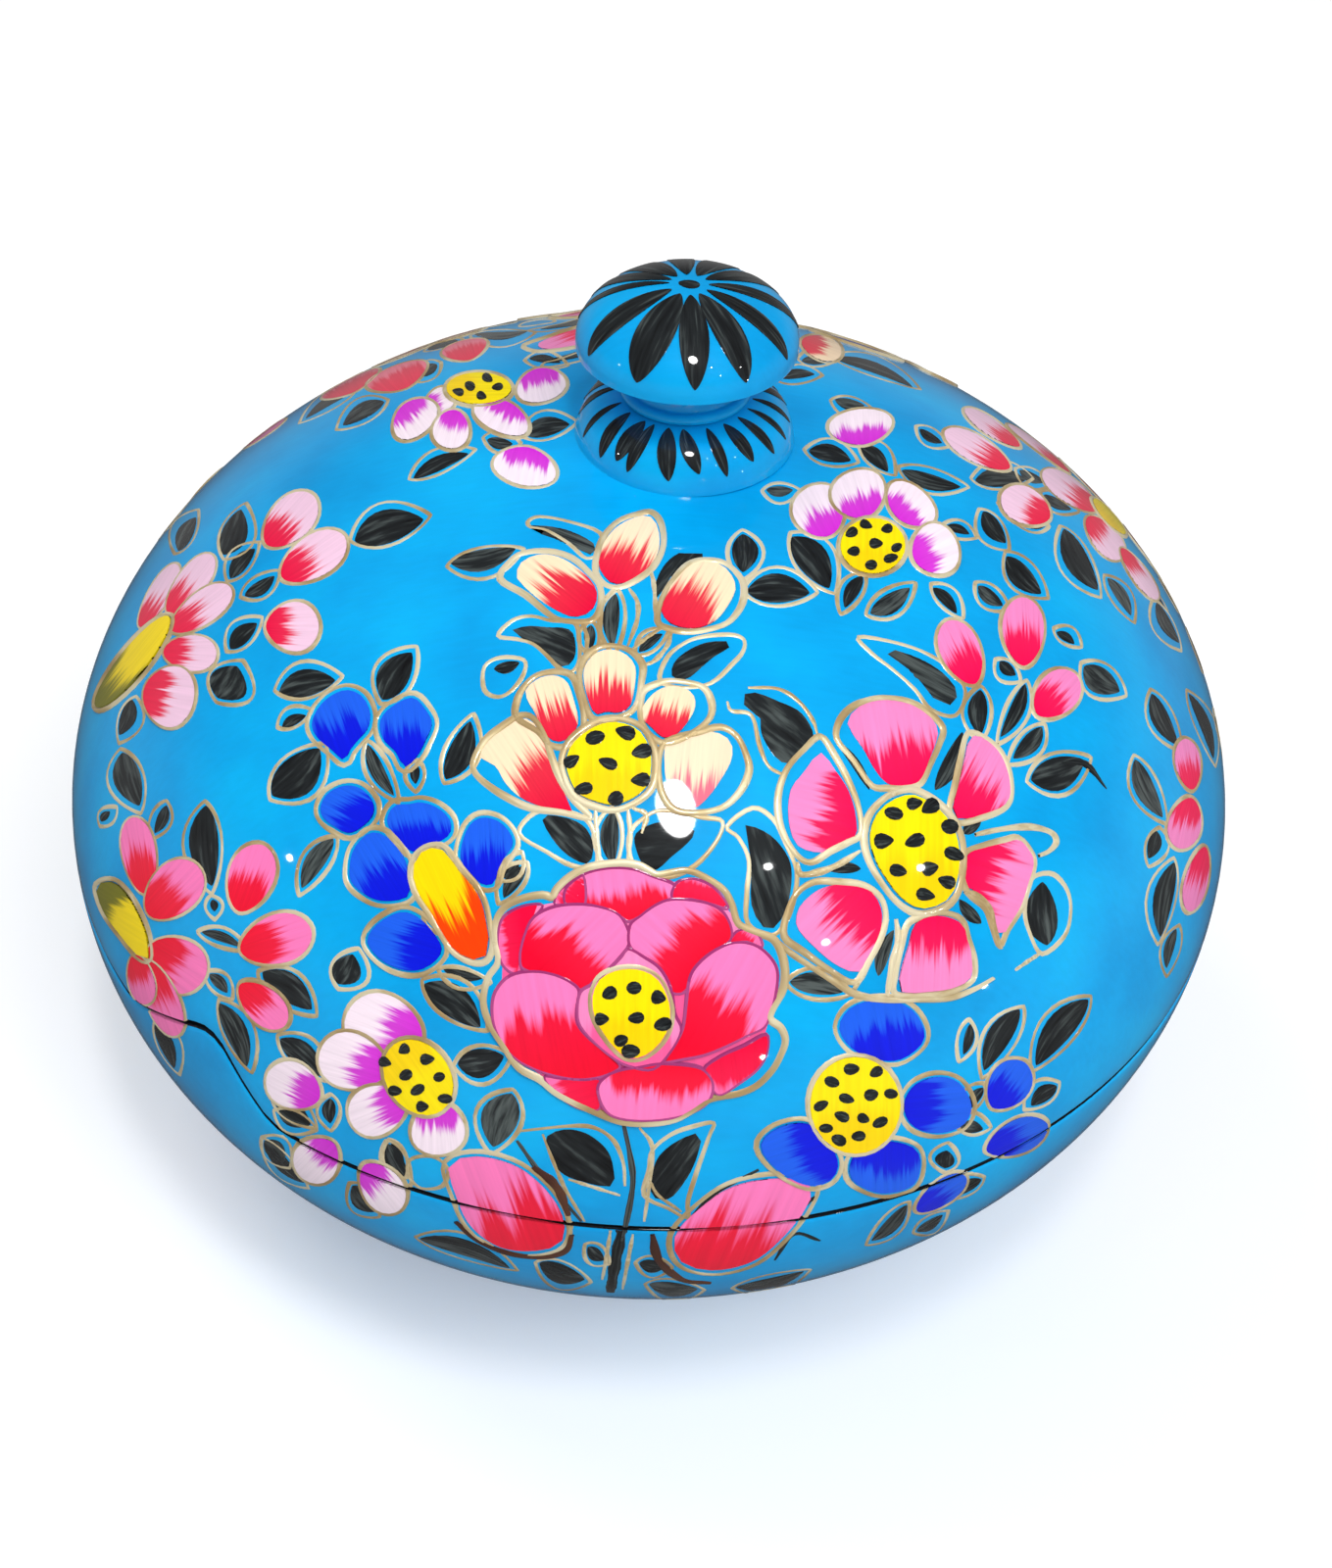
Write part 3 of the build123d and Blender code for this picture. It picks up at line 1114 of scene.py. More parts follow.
def enlarged(left, top, scale):
    """A part of the photograph from a corner on, at a scale."""
    def place(flat, lift=0.0):
        return seen(np.array([left, top]) + flat / scale, lift)
    return place


def beside(azimuth, latitude, size=1.0):
    """A patch of the ball unrolled round a point: x round the axis and y down the meridian, at 13.9 drawing
    units to the millimetre, which is the photograph's scale at the front, or larger by a size."""
    middle, tilt = np.radians(azimuth), np.radians(latitude)
    units = drawing_scale / size
    run = np.hypot(body_radius * np.sin(tilt), body_half_height * np.cos(tilt))

    def place(flat, lift=0.0):
        lat = tilt - flat[:, 1] / units / run
        turn = middle + flat[:, 0] / units / (body_radius * np.cos(lat))
        unit = np.stack([np.cos(lat) * np.cos(turn), np.cos(lat) * np.sin(turn), np.sin(lat)], 1)
        points, normals = on_unit_ball(ball_centre + unit * ball_axes)
        return points + lift * normals
    return place


def carried(place, turn, mirror=False):
    """Another place, mirrored from left to right if asked, and turned about the box's axis."""
    angle = np.radians(turn)
    spin = np.array([[np.cos(angle), -np.sin(angle), 0], [np.sin(angle), np.cos(angle), 0], [0, 0, 1]])
    if mirror:
        spin = spin @ np.diag([-1.0, 1.0, 1.0])

    def moved(flat, lift=0.0):
        return place(flat, lift) @ spin.T
    return moved


# %% [markdown]
# ## The palette
# A look is the material's slot, the colour at the root, the colour at the tip, how far the root colour
# reaches, and how long its teeth are. The teeth's length is added to the reach by a noise between 0 and 1,
# so the border wanders between the reach less the teeth and the reach itself. A leaf's reach is how much
# paler its strokes may be.

# %% Looks
rose = (petal_slot, "#F5002E", "#FF7DBE", 0.86, 0.62)
rose_deep = (petal_slot, "#F5003C", "#FF6FAE", 1.0, 0.5)
rose_pink = (petal_slot, "#FF5F9E", "#FF8CC4", 0.6, 0.4)
peony = (petal_slot, "#F40050", "#F588C4", 0.98, 0.85)
coral = (petal_slot, "#E8003A", "#FFE2BE", 0.96, 0.78)
pale_coral = (petal_slot, "#F2708A", "#FFE4C4", 0.85, 0.9)
coral_bud = (petal_slot, "#EC2F52", "#F27A90", 0.95, 0.6)
blue = (petal_slot, "#0412DE", "#1C60EC", 0.9, 0.7)
orchid = (petal_slot, "#D92BD8", "#FCEAF6", 0.84, 0.7)
pale_rose = (petal_slot, "#EE0A44", "#F6CDE6", 0.86, 0.8)
heart_yellow = (petal_slot, "#FBD500", "#FFE500", 0.6, 0.3)
heart_flame = (petal_slot, "#FFDC00", "#FF4200", 0.95, 0.8)
# Yellow at the root and olive at the tip: the olive is painted shade, for hearts whose tip points to the
# ball's edge
heart_with_painted_shade = (petal_slot, "#FFE000", "#7C7A1A", 1.0, 0.6)
mauve_line = (petal_slot, "#A23574", "#B04A86", 0.6, 0.3)
brown_line = (petal_slot, "#4A2A20", "#5A3828", 0.6, 0.3)
leaf = (leaf_slot, "#101010", "#101010", 0.2, 0.3)
ink = (leaf_slot, "#101010", "#101010", 0.0, 0.3)
gold = (gold_slot, "#D9B98C", "#D9B98C", 0.5, 0.3)


# %% [markdown]
# ## Flowers, leaves and stems
# Strokes come in groups: petals with their outlines, a heart with its seeds, leaves with a loose gold line.
# In a flower each next stroke lies a little higher, so it covers the last one. The hand isn't steady, so
# seeds tilt, leaves bend and lines slip by small random amounts.

# %% Groups of strokes
lowest_layer, layer_step = 0.045, 0.03
over_petal = 0.02
over_heart = 0.03
seed_tilt = 0.6
seed_slimness = 0.72
leaf_bend = 0.06
leaf_lift, leaf_lift_step = 0.014, 0.0015
leaf_line_lift = 0.035
leaf_line_slip = 2.5
edged_leaf_lift = 0.03


def layer(order):
    """How high the paint of a stroke stands: each next stroke covers the last one and its line."""
    return lowest_layer + layer_step * order


def petals(place, strokes, look, width=line_mm, **shape):
    """Petals laid one over the other, each with its line round it. The petal's edge lies under the edge of
    the line's flat top, so that no gap is seen between them."""
    coats = []
    grow = 0.25 * width * drawing_scale
    for order, stroke in enumerate(strokes):
        coats.append(blob(place, stroke, look, layer(order), **shape))
        coats.append(ringed(place, stroke, gold, layer(order) + over_petal, width, grow=grow, **shape))
    return coats


def drawn(place, shapes, look, first=0, outline=gold, grow=16.0, width=line_mm):
    """Petals with edges of their own: each shape is the pull of the brush and then the edge. Without an
    outline they lie bare, and their lines are drawn on their own."""
    coats = []
    for order, (pull, edge) in enumerate(shapes, first):
        coats.append(filled(place, pull, edge, look, layer(order)))
        if outline is not None:
            route = outside(edge, grow)
            coats.append(line(place, route, outline, layer(order) + over_petal, width, closed=True))
    return coats


def seeds(place, spots, order, length, width):
    """Dark wedge-shaped seeds, each tilted its own way."""
    coats = []
    for x, y in spots:
        tilt = rng.uniform(-seed_tilt, seed_tilt)
        half = length * rng.uniform(0.42, 0.58) * np.array([np.cos(tilt), np.sin(tilt)])
        stroke = (x - half[0], y - half[1], x + half[0], y + half[1], width * rng.uniform(0.85, 1.15))
        lift = layer(order) + over_heart
        coats.append(blob(place, stroke, ink, lift, detail=4, egg=rng.uniform(-0.5, 0.5)))
    return coats


def heart(place, stroke, spots, order, look=heart_yellow, size=15.0, grow=3.0):
    """A yellow heart with its ring and seeds."""
    coats = [blob(place, stroke, look, layer(order), egg=0.0)]
    coats.append(ringed(place, stroke, gold, layer(order) + over_petal, grow=grow, egg=0.0))
    return coats + seeds(place, spots, order, size, size * seed_slimness)


def leaves(place, strokes, outline=gold, gap=4.5):
    """Dark leaves, each with a gold line that keeps a little off it and runs past its tip."""
    coats = []
    for order, stroke in enumerate(strokes):
        root, tip = np.array(stroke[:2]), np.array(stroke[2:4])
        run = (tip - root) / np.linalg.norm(tip - root)
        curve = leaf_bend * rng.choice((-1, 1))
        lift = leaf_lift + leaf_lift_step * (order % 4)
        coats.append(blob(place, stroke, leaf, lift, egg=-0.15, point=0.55, bend=curve))
        if outline is None:
            continue
        slip = rng.uniform(-leaf_line_slip, leaf_line_slip) * np.array([-run[1], run[0]])
        loop = (*(root - run * gap + slip), *(tip + run * 1.8 * gap + slip), stroke[4] + 2.2 * gap)
        coats.append(ringed(place, loop, outline, leaf_line_lift, egg=-0.15, point=0.7, bend=curve))
    return coats


def stems(place, routes, look=gold, width=line_mm, lift=0.04, taper=0.25):
    """Open lines through a few points each."""
    return [line(place, smooth_route(route), look, lift, width, taper=taper) for route in routes]


def loops(place, routes, width=line_mm, lift=0.04):
    """Closed gold lines through a few points each."""
    closed = [smooth_route(route, 4, closed=True) for route in routes]
    return [line(place, route, gold, lift, width, closed=True) for route in closed]


def leaf_edges(place, edges):
    """Leaves with edges of their own, drawn from the edge's first point to the point furthest from it."""
    coats = []
    for edge in edges:
        root = edge[0]
        tip = max(edge, key=lambda point: np.hypot(point[0] - root[0], point[1] - root[1]))
        coats.append(filled(place, (*root, *tip), edge, leaf, edged_leaf_lift))
    return coats


def small_flower(place, look, turn, size=34.0, count=5):
    """Petals round a seeded heart, each a turn from the last. They widen with the size and thin out with
    their number."""
    angles = turn + np.arange(count) * 2 * np.pi / count
    spokes = [size * np.array([np.cos(angle), np.sin(angle)]) for angle in angles]
    strokes = [(*(0.55 * spoke), *(1.8 * spoke), 6.4 * size / (count + 0.6)) for spoke in spokes]
    spots = [(0.4 * size * np.cos(angle), 0.4 * size * np.sin(angle)) for angle in angles + 0.3]
    disc = (0.72 * size, 0.0, -0.72 * size, 0.0, 1.4 * size)
    coats = petals(place, strokes, look)
    return coats + heart(place, disc, spots + [(0.0, 0.0)], count, size=9.0 + 0.12 * size)


# %% [markdown]
# ## The rose at the front
# The large flowers were read off enlarged parts of the photograph, so their numbers are pixels of those
# parts. The rose has no gold between its petals, only a thin mauve line, and one thick cream line round the
# whole. Each petal is the pull of the brush, root to tip, and then its edge.

# %% Rose
rose_seed_size = (78.0, 62.0)
rose_view = enlarged(480, 860, 4.612)
rose_field = ((740, 700, 740, 100), [(200, 330), (330, 290), (450, 270), (520, 190), (700, 140), (850, 165),
    (960, 190), (1100, 200), (1200, 300), (1290, 420), (1400, 520), (1430, 700), (1390, 880), (1330, 1040),
    (1200, 1150), (1000, 1250), (720, 1280), (560, 1230), (400, 1140), (230, 1010), (130, 880), (115, 740),
    (160, 600), (145, 450)])
rose_behind = [
    ((260, 450, 130, 470), [(180, 330), (260, 295), (340, 295), (290, 370), (250, 450), (235, 540),
        (240, 610), (190, 610), (145, 560), (130, 470), (140, 380)]),
    ((540, 290, 420, 200), [(400, 290), (410, 240), (460, 190), (530, 150), (540, 290), (470, 290)]),
    ((1060, 290, 1090, 160), [(950, 260), (970, 190), (1040, 170), (1120, 195), (1180, 250), (1210, 310),
        (1120, 285), (1040, 265)]),
    ((1240, 500, 1310, 400), [(1220, 470), (1250, 420), (1300, 405), (1350, 430), (1370, 490), (1300, 465)]),
    ((590, 1110, 370, 1180), [(350, 1100), (430, 1105), (540, 1110), (610, 1110), (600, 1170), (610, 1245),
        (530, 1250), (420, 1190)]),
    ((1230, 940, 1270, 1190), [(1100, 1060), (1180, 1000), (1290, 950), (1390, 900), (1395, 980),
        (1350, 1060), (1260, 1130), (1180, 1180), (1140, 1160), (1130, 1110)]),
]
rose_petals = [
    ((740, 390, 690, 110), [(450, 290), (450, 215), (530, 150), (640, 122), (760, 125), (860, 160),
        (960, 200), (955, 260), (870, 300), (800, 345), (745, 370), (700, 345), (620, 305), (530, 290)]),
    ((400, 640, 660, 380), [(745, 480), (745, 420), (700, 340), (620, 305), (520, 290), (400, 300),
        (300, 350), (255, 440), (235, 540), (260, 600), (400, 625), (520, 690), (580, 650), (650, 590),
        (700, 540)]),
    ((1080, 580, 820, 350), [(748, 480), (752, 390), (800, 345), (870, 295), (940, 268), (1040, 270),
        (1130, 290), (1190, 330), (1225, 400), (1220, 460), (1150, 510), (1070, 580), (1030, 650),
        (1010, 700), (950, 705), (920, 640), (870, 575), (800, 530)]),
    ((420, 1080, 330, 600), [(190, 625), (300, 605), (400, 622), (480, 660), (512, 700), (500, 780),
        (505, 850), (550, 910), (620, 970), (705, 1045), (640, 1090), (540, 1110), (430, 1100), (300, 1060),
        (200, 1000), (130, 900), (105, 800), (120, 700)]),
    ((1040, 960, 1290, 500), [(1030, 640), (1070, 570), (1150, 505), (1240, 470), (1330, 480), (1400, 530),
        (1440, 600), (1435, 700), (1410, 800), (1380, 865), (1300, 905), (1200, 955), (1100, 995),
        (1000, 1015), (910, 1025), (960, 950), (1000, 870), (1015, 760)]),
    ((880, 1020, 860, 1300), [(600, 1150), (640, 1095), (710, 1065), (800, 1050), (900, 1035), (1060, 1050),
        (1120, 1090), (1140, 1150), (1110, 1220), (1010, 1275), (850, 1300), (700, 1290), (630, 1245)]),
]
rose_ring = ((740, 1080, 740, 480), [(745, 500), (820, 540), (890, 590), (940, 680), (960, 800), (990, 880),
    (940, 980), (860, 1060), (760, 1050), (690, 1020), (600, 950), (520, 860), (505, 780), (520, 700),
    (580, 660), (660, 590), (710, 540)])
rose_heart = ((740, 1010, 740, 590), [(580, 700), (610, 640), (670, 605), (740, 592), (810, 600),
    (880, 640), (925, 720), (940, 800), (925, 880), (880, 950), (810, 1000), (740, 1005), (680, 960),
    (620, 880), (585, 810), (575, 750)])
rose_seeds = [(655, 705), (770, 680), (885, 725), (620, 825), (780, 820), (905, 850), (710, 925), (755, 975)]
rose_rim = [(115, 460), (120, 370), (165, 300), (250, 260), (340, 245), (385, 255), (410, 215), (470, 160),
    (560, 115), (700, 95), (790, 105), (840, 130), (880, 150), (940, 140), (1020, 130), (1100, 160),
    (1190, 220), (1230, 290), (1260, 380), (1340, 420), (1420, 450), (1460, 510), (1480, 600), (1470, 690),
    (1420, 780), (1410, 830), (1460, 870), (1482, 930), (1460, 1000), (1420, 1070), (1350, 1140),
    (1260, 1180), (1130, 1205), (1040, 1260), (960, 1300), (850, 1318), (720, 1312), (600, 1270),
    (420, 1185), (330, 1115), (230, 1060), (160, 960), (90, 850), (60, 750), (80, 640), (130, 560)]


def rose_flower(place, look=rose, behind=rose_deep, pale=rose_pink):
    """The many-petalled rose."""
    coats = drawn(place, [rose_field], pale, 0, None)
    coats += drawn(place, rose_behind, behind, 1, mauve_line, 0.0, 0.3)
    coats += drawn(place, rose_petals, look, 2, mauve_line, 0.0, 0.34)
    coats += drawn(place, [rose_ring], pale, 7, mauve_line, 0.0, 0.34)
    coats += drawn(place, [rose_heart], heart_yellow, 8, gold, 12.0, 0.5)
    coats += seeds(place, rose_seeds, 8, *rose_seed_size)
    return coats + loops(place, [rose_rim], 0.6, 0.3)


laid("rose", rose_flower(rose_view))

# %% [markdown]
# ## The open flower at the right
# Here every petal has a cream line of its own that wanders off it and back, and leaves show between the
# petals. The lines lie highest, over petals and leaves.

# %% Peony
peony_seed_size = (84.0, 64.0)
peony_view = enlarged(780, 690, 4.48)
peony_petals = [
    ((650, 540, 570, 90), [(380, 200), (440, 135), (540, 110), (650, 125), (740, 170), (790, 240),
        (780, 310), (745, 400), (715, 490), (640, 508), (560, 490), (500, 420), (450, 330), (400, 260)]),
    ((440, 650, 90, 560), [(255, 350), (320, 430), (380, 520), (415, 640), (410, 745), (300, 800),
        (210, 800), (140, 760), (110, 650), (120, 520), (180, 440)]),
    ((520, 970, 200, 1280), [(180, 1030), (260, 970), (380, 950), (480, 980), (530, 1060), (530, 1150),
        (490, 1250), (430, 1350), (330, 1320), (230, 1240), (150, 1150), (150, 1080)]),
    ((880, 660, 1060, 310), [(940, 280), (1010, 290), (1070, 350), (1110, 450), (1120, 540), (1080, 600),
        (980, 640), (880, 650), (860, 600), (890, 480), (915, 370)]),
    ((900, 860, 1220, 960), [(930, 810), (1000, 780), (1080, 765), (1140, 745), (1195, 775), (1225, 850),
        (1210, 930), (1180, 1020), (1140, 1110), (1085, 1190), (1040, 1120), (1000, 1020), (950, 975),
        (905, 960), (905, 880)]),
    ((790, 1060, 780, 1450), [(690, 1130), (780, 1095), (880, 1120), (920, 1180), (940, 1290), (935, 1380),
        (850, 1425), (740, 1440), (620, 1440), (622, 1350), (655, 1240)]),
]
peony_loops = [
    [(330, 285), (345, 200), (400, 140), (470, 110), (540, 98), (650, 112), (740, 158), (815, 235),
        (800, 310), (760, 400), (715, 490), (640, 515), (565, 512), (490, 500), (410, 390)],
    [(255, 275), (320, 360), (385, 480), (430, 600), (440, 720), (380, 760), (300, 800), (220, 850),
        (160, 830), (100, 750), (65, 650), (65, 530), (105, 420), (180, 335)],
    [(150, 990), (230, 940), (330, 940), (450, 955), (530, 1010), (555, 1100), (530, 1200), (470, 1310),
        (410, 1400), (300, 1345), (180, 1260), (90, 1190), (105, 1080)],
    [(930, 260), (1010, 285), (1080, 350), (1120, 450), (1125, 560), (1085, 610), (980, 650), (890, 670),
        (845, 610), (870, 500), (895, 380)],
    [(900, 900), (915, 810), (1000, 775), (1090, 752), (1160, 740), (1215, 800), (1232, 860), (1205, 960),
        (1172, 1060), (1110, 1160), (1075, 1235), (1045, 1160), (1010, 1060), (930, 990)],
    [(650, 1140), (700, 1105), (800, 1080), (900, 1110), (930, 1200), (960, 1300), (950, 1390), (860, 1440),
        (740, 1460), (600, 1455), (600, 1360), (625, 1240)],
]
peony_heart = ((690, 1070, 690, 540), [(600, 560), (680, 545), (780, 600), (850, 680), (882, 780),
    (880, 900), (850, 1000), (780, 1050), (700, 1060), (620, 1010), (550, 920), (500, 830), (480, 740),
    (500, 650), (550, 590)])
peony_seeds = [(585, 630), (680, 585), (750, 600), (540, 755), (680, 755), (840, 690), (860, 815),
    (605, 890), (750, 880), (825, 940), (730, 1000)]
peony_lines = [
    [(960, 725), (1050, 705), (1140, 692), (1230, 690), (1310, 715), (1332, 760), (1300, 800), (1250, 822)],
    [(910, 985), (980, 1005), (1030, 1070), (1050, 1160), (1078, 1245)],
    [(30, 1180), (100, 1250), (200, 1320), (300, 1385), (420, 1455), (560, 1480), (700, 1478), (850, 1470),
        (960, 1430), (1045, 1380)],
    [(150, 850), (165, 905), (250, 895), (340, 860), (435, 800)],
    [(600, 1110), (610, 1200), (580, 1330), (560, 1460)],
    [(560, 1110), (520, 1220), (450, 1360), (410, 1430)],
]
peony_leaves = [(480, 520, 320, 290, 42), (780, 520, 905, 255, 84), (440, 880, 300, 890, 50),
    (520, 1370, 590, 1160, 62), (1290, 1230, 1270, 940, 150), (990, 1130, 890, 1020, 60),
    (910, 720, 990, 660, 60)]
peony_leaf_loop = [(1235, 915), (1320, 905), (1385, 980), (1400, 1080), (1370, 1190), (1270, 1270),
    (1215, 1180), (1190, 1080), (1205, 980)]


def peony_flower(place, look=peony):
    """The open flower with a tilted oval heart."""
    coats = leaves(place, peony_leaves, outline=None)
    coats += drawn(place, peony_petals, look, 0, None)
    coats += loops(place, peony_loops, width=0.55, lift=0.22)
    coats += drawn(place, [peony_heart], heart_yellow, 6, gold, 26.0, 0.6)
    coats += seeds(place, peony_seeds, 6, *peony_seed_size)
    coats += stems(place, peony_lines, width=0.55, lift=0.24)
    coats += loops(place, [peony_leaf_loop], width=0.5)
    return coats + stems(place, [[(1265, 1265), (1210, 1300), (1145, 1345)]])


laid("peony", peony_flower(peony_view))

# %% [markdown]
# ## The coral flower in the middle
# Cream petals with red roots, three buds on crossing stems above, and a lower petal that is paler than the
# others.

# %% Coral flower
coral_seed_size = (84.0, 56.0)
coral_view = enlarged(480, 520, 4.238)
coral_petals = [
    ((960, 1330, 1000, 900), [(850, 1010), (960, 962), (1080, 970), (1130, 1020), (1125, 1090),
        (1080, 1170), (1030, 1240), (970, 1290), (900, 1260), (850, 1180), (840, 1100)]),
    ((400, 1290, 150, 930), [(40, 1060), (80, 1000), (160, 940), (220, 902), (275, 925), (310, 990),
        (335, 1060), (360, 1130), (400, 1210), (470, 1300), (400, 1298), (300, 1282), (210, 1240),
        (150, 1180), (110, 1110), (60, 1095)]),
    ((400, 1030, 300, 700), [(240, 780), (300, 730), (370, 720), (420, 750), (445, 820), (465, 900),
        (455, 955), (400, 1002), (350, 995), (310, 950), (280, 880), (250, 830)]),
    ((600, 920, 600, 600), [(490, 730), (500, 670), (550, 620), (610, 608), (670, 628), (712, 680),
        (710, 760), (690, 850), (640, 880), (590, 875), (540, 885), (510, 820)]),
    ((830, 1010, 900, 750), [(735, 890), (770, 820), (830, 775), (900, 768), (960, 800), (970, 860),
        (930, 930), (880, 980), (830, 985), (780, 940)]),
]
coral_buds = [
    ((510, 470, 180, 210), [(200, 290), (220, 230), (300, 195), (390, 210), (470, 260), (530, 320),
        (548, 380), (520, 440), (450, 465), (380, 440), (300, 390), (230, 330)]),
    ((610, 350, 780, 10), [(555, 240), (570, 160), (620, 90), (680, 50), (760, 28), (802, 60), (818, 140),
        (800, 210), (750, 270), (690, 310), (620, 322), (580, 290)]),
    ((870, 560, 1080, 210), [(825, 440), (840, 390), (880, 310), (930, 250), (1000, 228), (1080, 240),
        (1130, 290), (1145, 350), (1110, 420), (1060, 480), (990, 512), (920, 512), (860, 490)]),
]
coral_heart = ((600, 1290, 600, 920), [(415, 1090), (440, 1020), (500, 965), (570, 930), (650, 925),
    (730, 960), (775, 1040), (780, 1130), (760, 1200), (700, 1250), (620, 1278), (540, 1262), (470, 1230),
    (430, 1165)])
coral_seeds = [(540, 990), (670, 968), (740, 1050), (595, 1100), (440, 1090), (735, 1172), (490, 1210),
    (628, 1252)]
coral_loops = [
    [(15, 1080), (60, 1000), (130, 940), (220, 888), (280, 910), (325, 990), (350, 1070), (390, 1170),
        (450, 1260), (520, 1335), (400, 1310), (260, 1290), (150, 1240), (60, 1180), (15, 1130)],
    [(200, 900), (200, 830), (232, 765), (290, 715), (380, 700), (440, 720), (470, 800), (490, 890),
        (480, 970), (410, 1025), (340, 1015), (290, 960)],
    [(470, 720), (490, 650), (540, 600), (610, 588), (690, 610), (742, 665), (742, 730), (715, 850),
        (640, 900), (530, 905), (490, 820)],
    [(740, 800), (800, 755), (880, 740), (1000, 765), (1042, 830), (1035, 900), (970, 960), (890, 1000),
        (820, 1005), (745, 930)],
    [(980, 965), (1080, 940), (1150, 978), (1190, 1055), (1205, 1130), (1165, 1220), (1085, 1290),
        (960, 1312), (870, 1290), (820, 1200), (815, 1080), (850, 1000)],
    [(128, 300), (170, 225), (230, 188), (340, 180), (440, 210), (520, 280), (562, 340), (560, 430),
        (520, 480), (420, 482), (350, 460), (240, 370)],
    [(542, 270), (550, 190), (580, 110), (640, 50), (720, 20), (785, 12), (825, 60), (835, 150), (802, 232),
        (740, 290), (650, 335), (585, 325)],
    [(808, 480), (830, 380), (880, 300), (940, 238), (1010, 218), (1100, 232), (1172, 300), (1182, 380),
        (1150, 450), (1090, 500), (960, 528), (860, 515)],
]
coral_lines = [
    [(615, 345), (575, 400), (562, 480), (568, 600)],
    [(685, 340), (722, 400), (720, 480), (680, 590)],
    [(480, 480), (505, 560), (490, 680)],
    [(770, 240), (795, 330), (800, 470)],
    [(820, 515), (760, 555), (700, 605)],
    [(870, 530), (850, 590), (800, 650), (755, 672)],
    [(220, 190), (160, 230), (130, 300)],
    [(700, 1290), (760, 1320), (740, 1400)],
    [(540, 1300), (545, 1400), (560, 1540)],
    [(680, 1290), (690, 1400), (680, 1550)],
]


def coral_flower(place, look=coral, side=pale_coral, bud=coral):
    """A flower in cream and red with three buds above it."""
    coats = drawn(place, coral_petals[:1], side, 0, None)
    coats += drawn(place, coral_petals[1:], look, 0, None)
    coats += drawn(place, coral_buds, bud, 0, None)
    coats += loops(place, coral_loops, width=0.58, lift=0.17)
    coats += drawn(place, [coral_heart], heart_yellow, 5, gold, 22.0, 0.62)
    coats += seeds(place, coral_seeds, 5, *coral_seed_size)
    return coats + stems(place, coral_lines, width=0.5)


laid("coral_flower", coral_flower(coral_view))

# %% [markdown]
# ## The two blue flowers
# The left one has a long heart painted from yellow to flame, the lower one a round heart full of short seeds.

# %% Blue flowers
blue_view = enlarged(300, 690, 4.9)
blue_petals = [
    ((620, 900, 540, 620), [(465, 720), (500, 650), (580, 640), (640, 632), (720, 660), (780, 720),
        (778, 790), (710, 835), (650, 850), (590, 878), (530, 820), (480, 760)]),
    ((960, 1080, 940, 700), [(835, 870), (870, 760), (930, 710), (1010, 720), (1070, 770), (1095, 840),
        (1050, 910), (1020, 970), (1000, 1035), (940, 1040), (880, 980), (840, 930)]),
    ((540, 1150, 320, 800), [(280, 970), (300, 870), (370, 790), (440, 790), (510, 850), (560, 930),
        (572, 1020), (580, 1090), (520, 1120), (420, 1120), (340, 1080), (290, 1030)]),
    ((760, 1390, 380, 1280), [(370, 1330), (400, 1260), (480, 1200), (560, 1180), (640, 1220), (710, 1300),
        (740, 1370), (700, 1430), (620, 1470), (520, 1460), (430, 1410)]),
]
blue_buds = [
    ((280, 440, 140, 60), [(90, 250), (110, 180), (170, 110), (260, 70), (340, 100), (380, 180), (370, 260),
        (320, 320), (280, 370), (250, 420), (190, 370), (120, 310)]),
    ((560, 470, 520, 100), [(430, 240), (460, 180), (530, 130), (600, 110), (660, 170), (690, 240),
        (655, 330), (620, 395), (555, 455), (510, 380), (450, 320)]),
    ((420, 760, 100, 600), [(135, 660), (170, 590), (250, 550), (330, 560), (390, 620), (400, 680),
        (365, 735), (280, 785), (200, 750), (150, 710)]),
]
blue_heart = ((650, 880, 900, 1420), [(600, 1000), (612, 920), (660, 870), (730, 860), (780, 910),
    (830, 980), (900, 1060), (940, 1140), (962, 1240), (975, 1340), (950, 1410), (880, 1410), (800, 1360),
    (740, 1270), (690, 1180), (630, 1090)])
low_view = enlarged(422, 1062, 3.039)
low_blue_petals = [
    ((1480, 60, 1440, -130), [(1319, -43), (1349, -97), (1407, -122), (1483, -125), (1550, -91),
        (1583, -30), (1568, 18), (1498, 61), (1407, 49), (1346, 12)]),
    ((1510, 200, 1725, 180), [(1520, 200), (1550, 140), (1620, 112), (1690, 130), (1728, 200), (1700, 262),
        (1620, 285), (1545, 262)]),
    ((1460, 310, 1460, 480), [(1350, 400), (1370, 350), (1430, 315), (1500, 315), (1560, 340), (1568, 400),
        (1540, 450), (1450, 470), (1370, 440)]),
    ((1300, 300, 1090, 370), [(1075, 330), (1110, 280), (1180, 255), (1240, 265), (1290, 320), (1315, 380),
        (1290, 430), (1220, 445), (1130, 400)]),
]
low_blue_heart = (872, 1176, 872, 1078, 92)
low_blue_seeds = [(868, 1090), (893, 1093), (848, 1103), (863, 1120), (888, 1116), (908, 1115), (837, 1127),
    (858, 1138), (880, 1140), (897, 1144), (842, 1150), (855, 1162), (875, 1158)]
low_blue_buds = [(1012, 1130, 1046, 1084, 42), (1006, 1174, 1068, 1146, 34)]


def blue_flower(place, look=blue):
    """A flower with four petals, a long flame-coloured heart and three buds."""
    coats = drawn(place, blue_petals, look, 0, gold, 26.0)
    coats += drawn(place, blue_buds, look, 0, gold, 26.0)
    return coats + drawn(place, [blue_heart], heart_flame, 5, gold, 18.0, 0.5)


def low_blue_flower(place, near, look=blue):
    """The blue flower next to the saw cut, with many short seeds."""
    coats = drawn(near, low_blue_petals, look, 0, gold, 13.0)
    coats += heart(place, low_blue_heart, low_blue_seeds, 4, grow=2.0)
    return coats + petals(place, low_blue_buds, look, point=0.2)


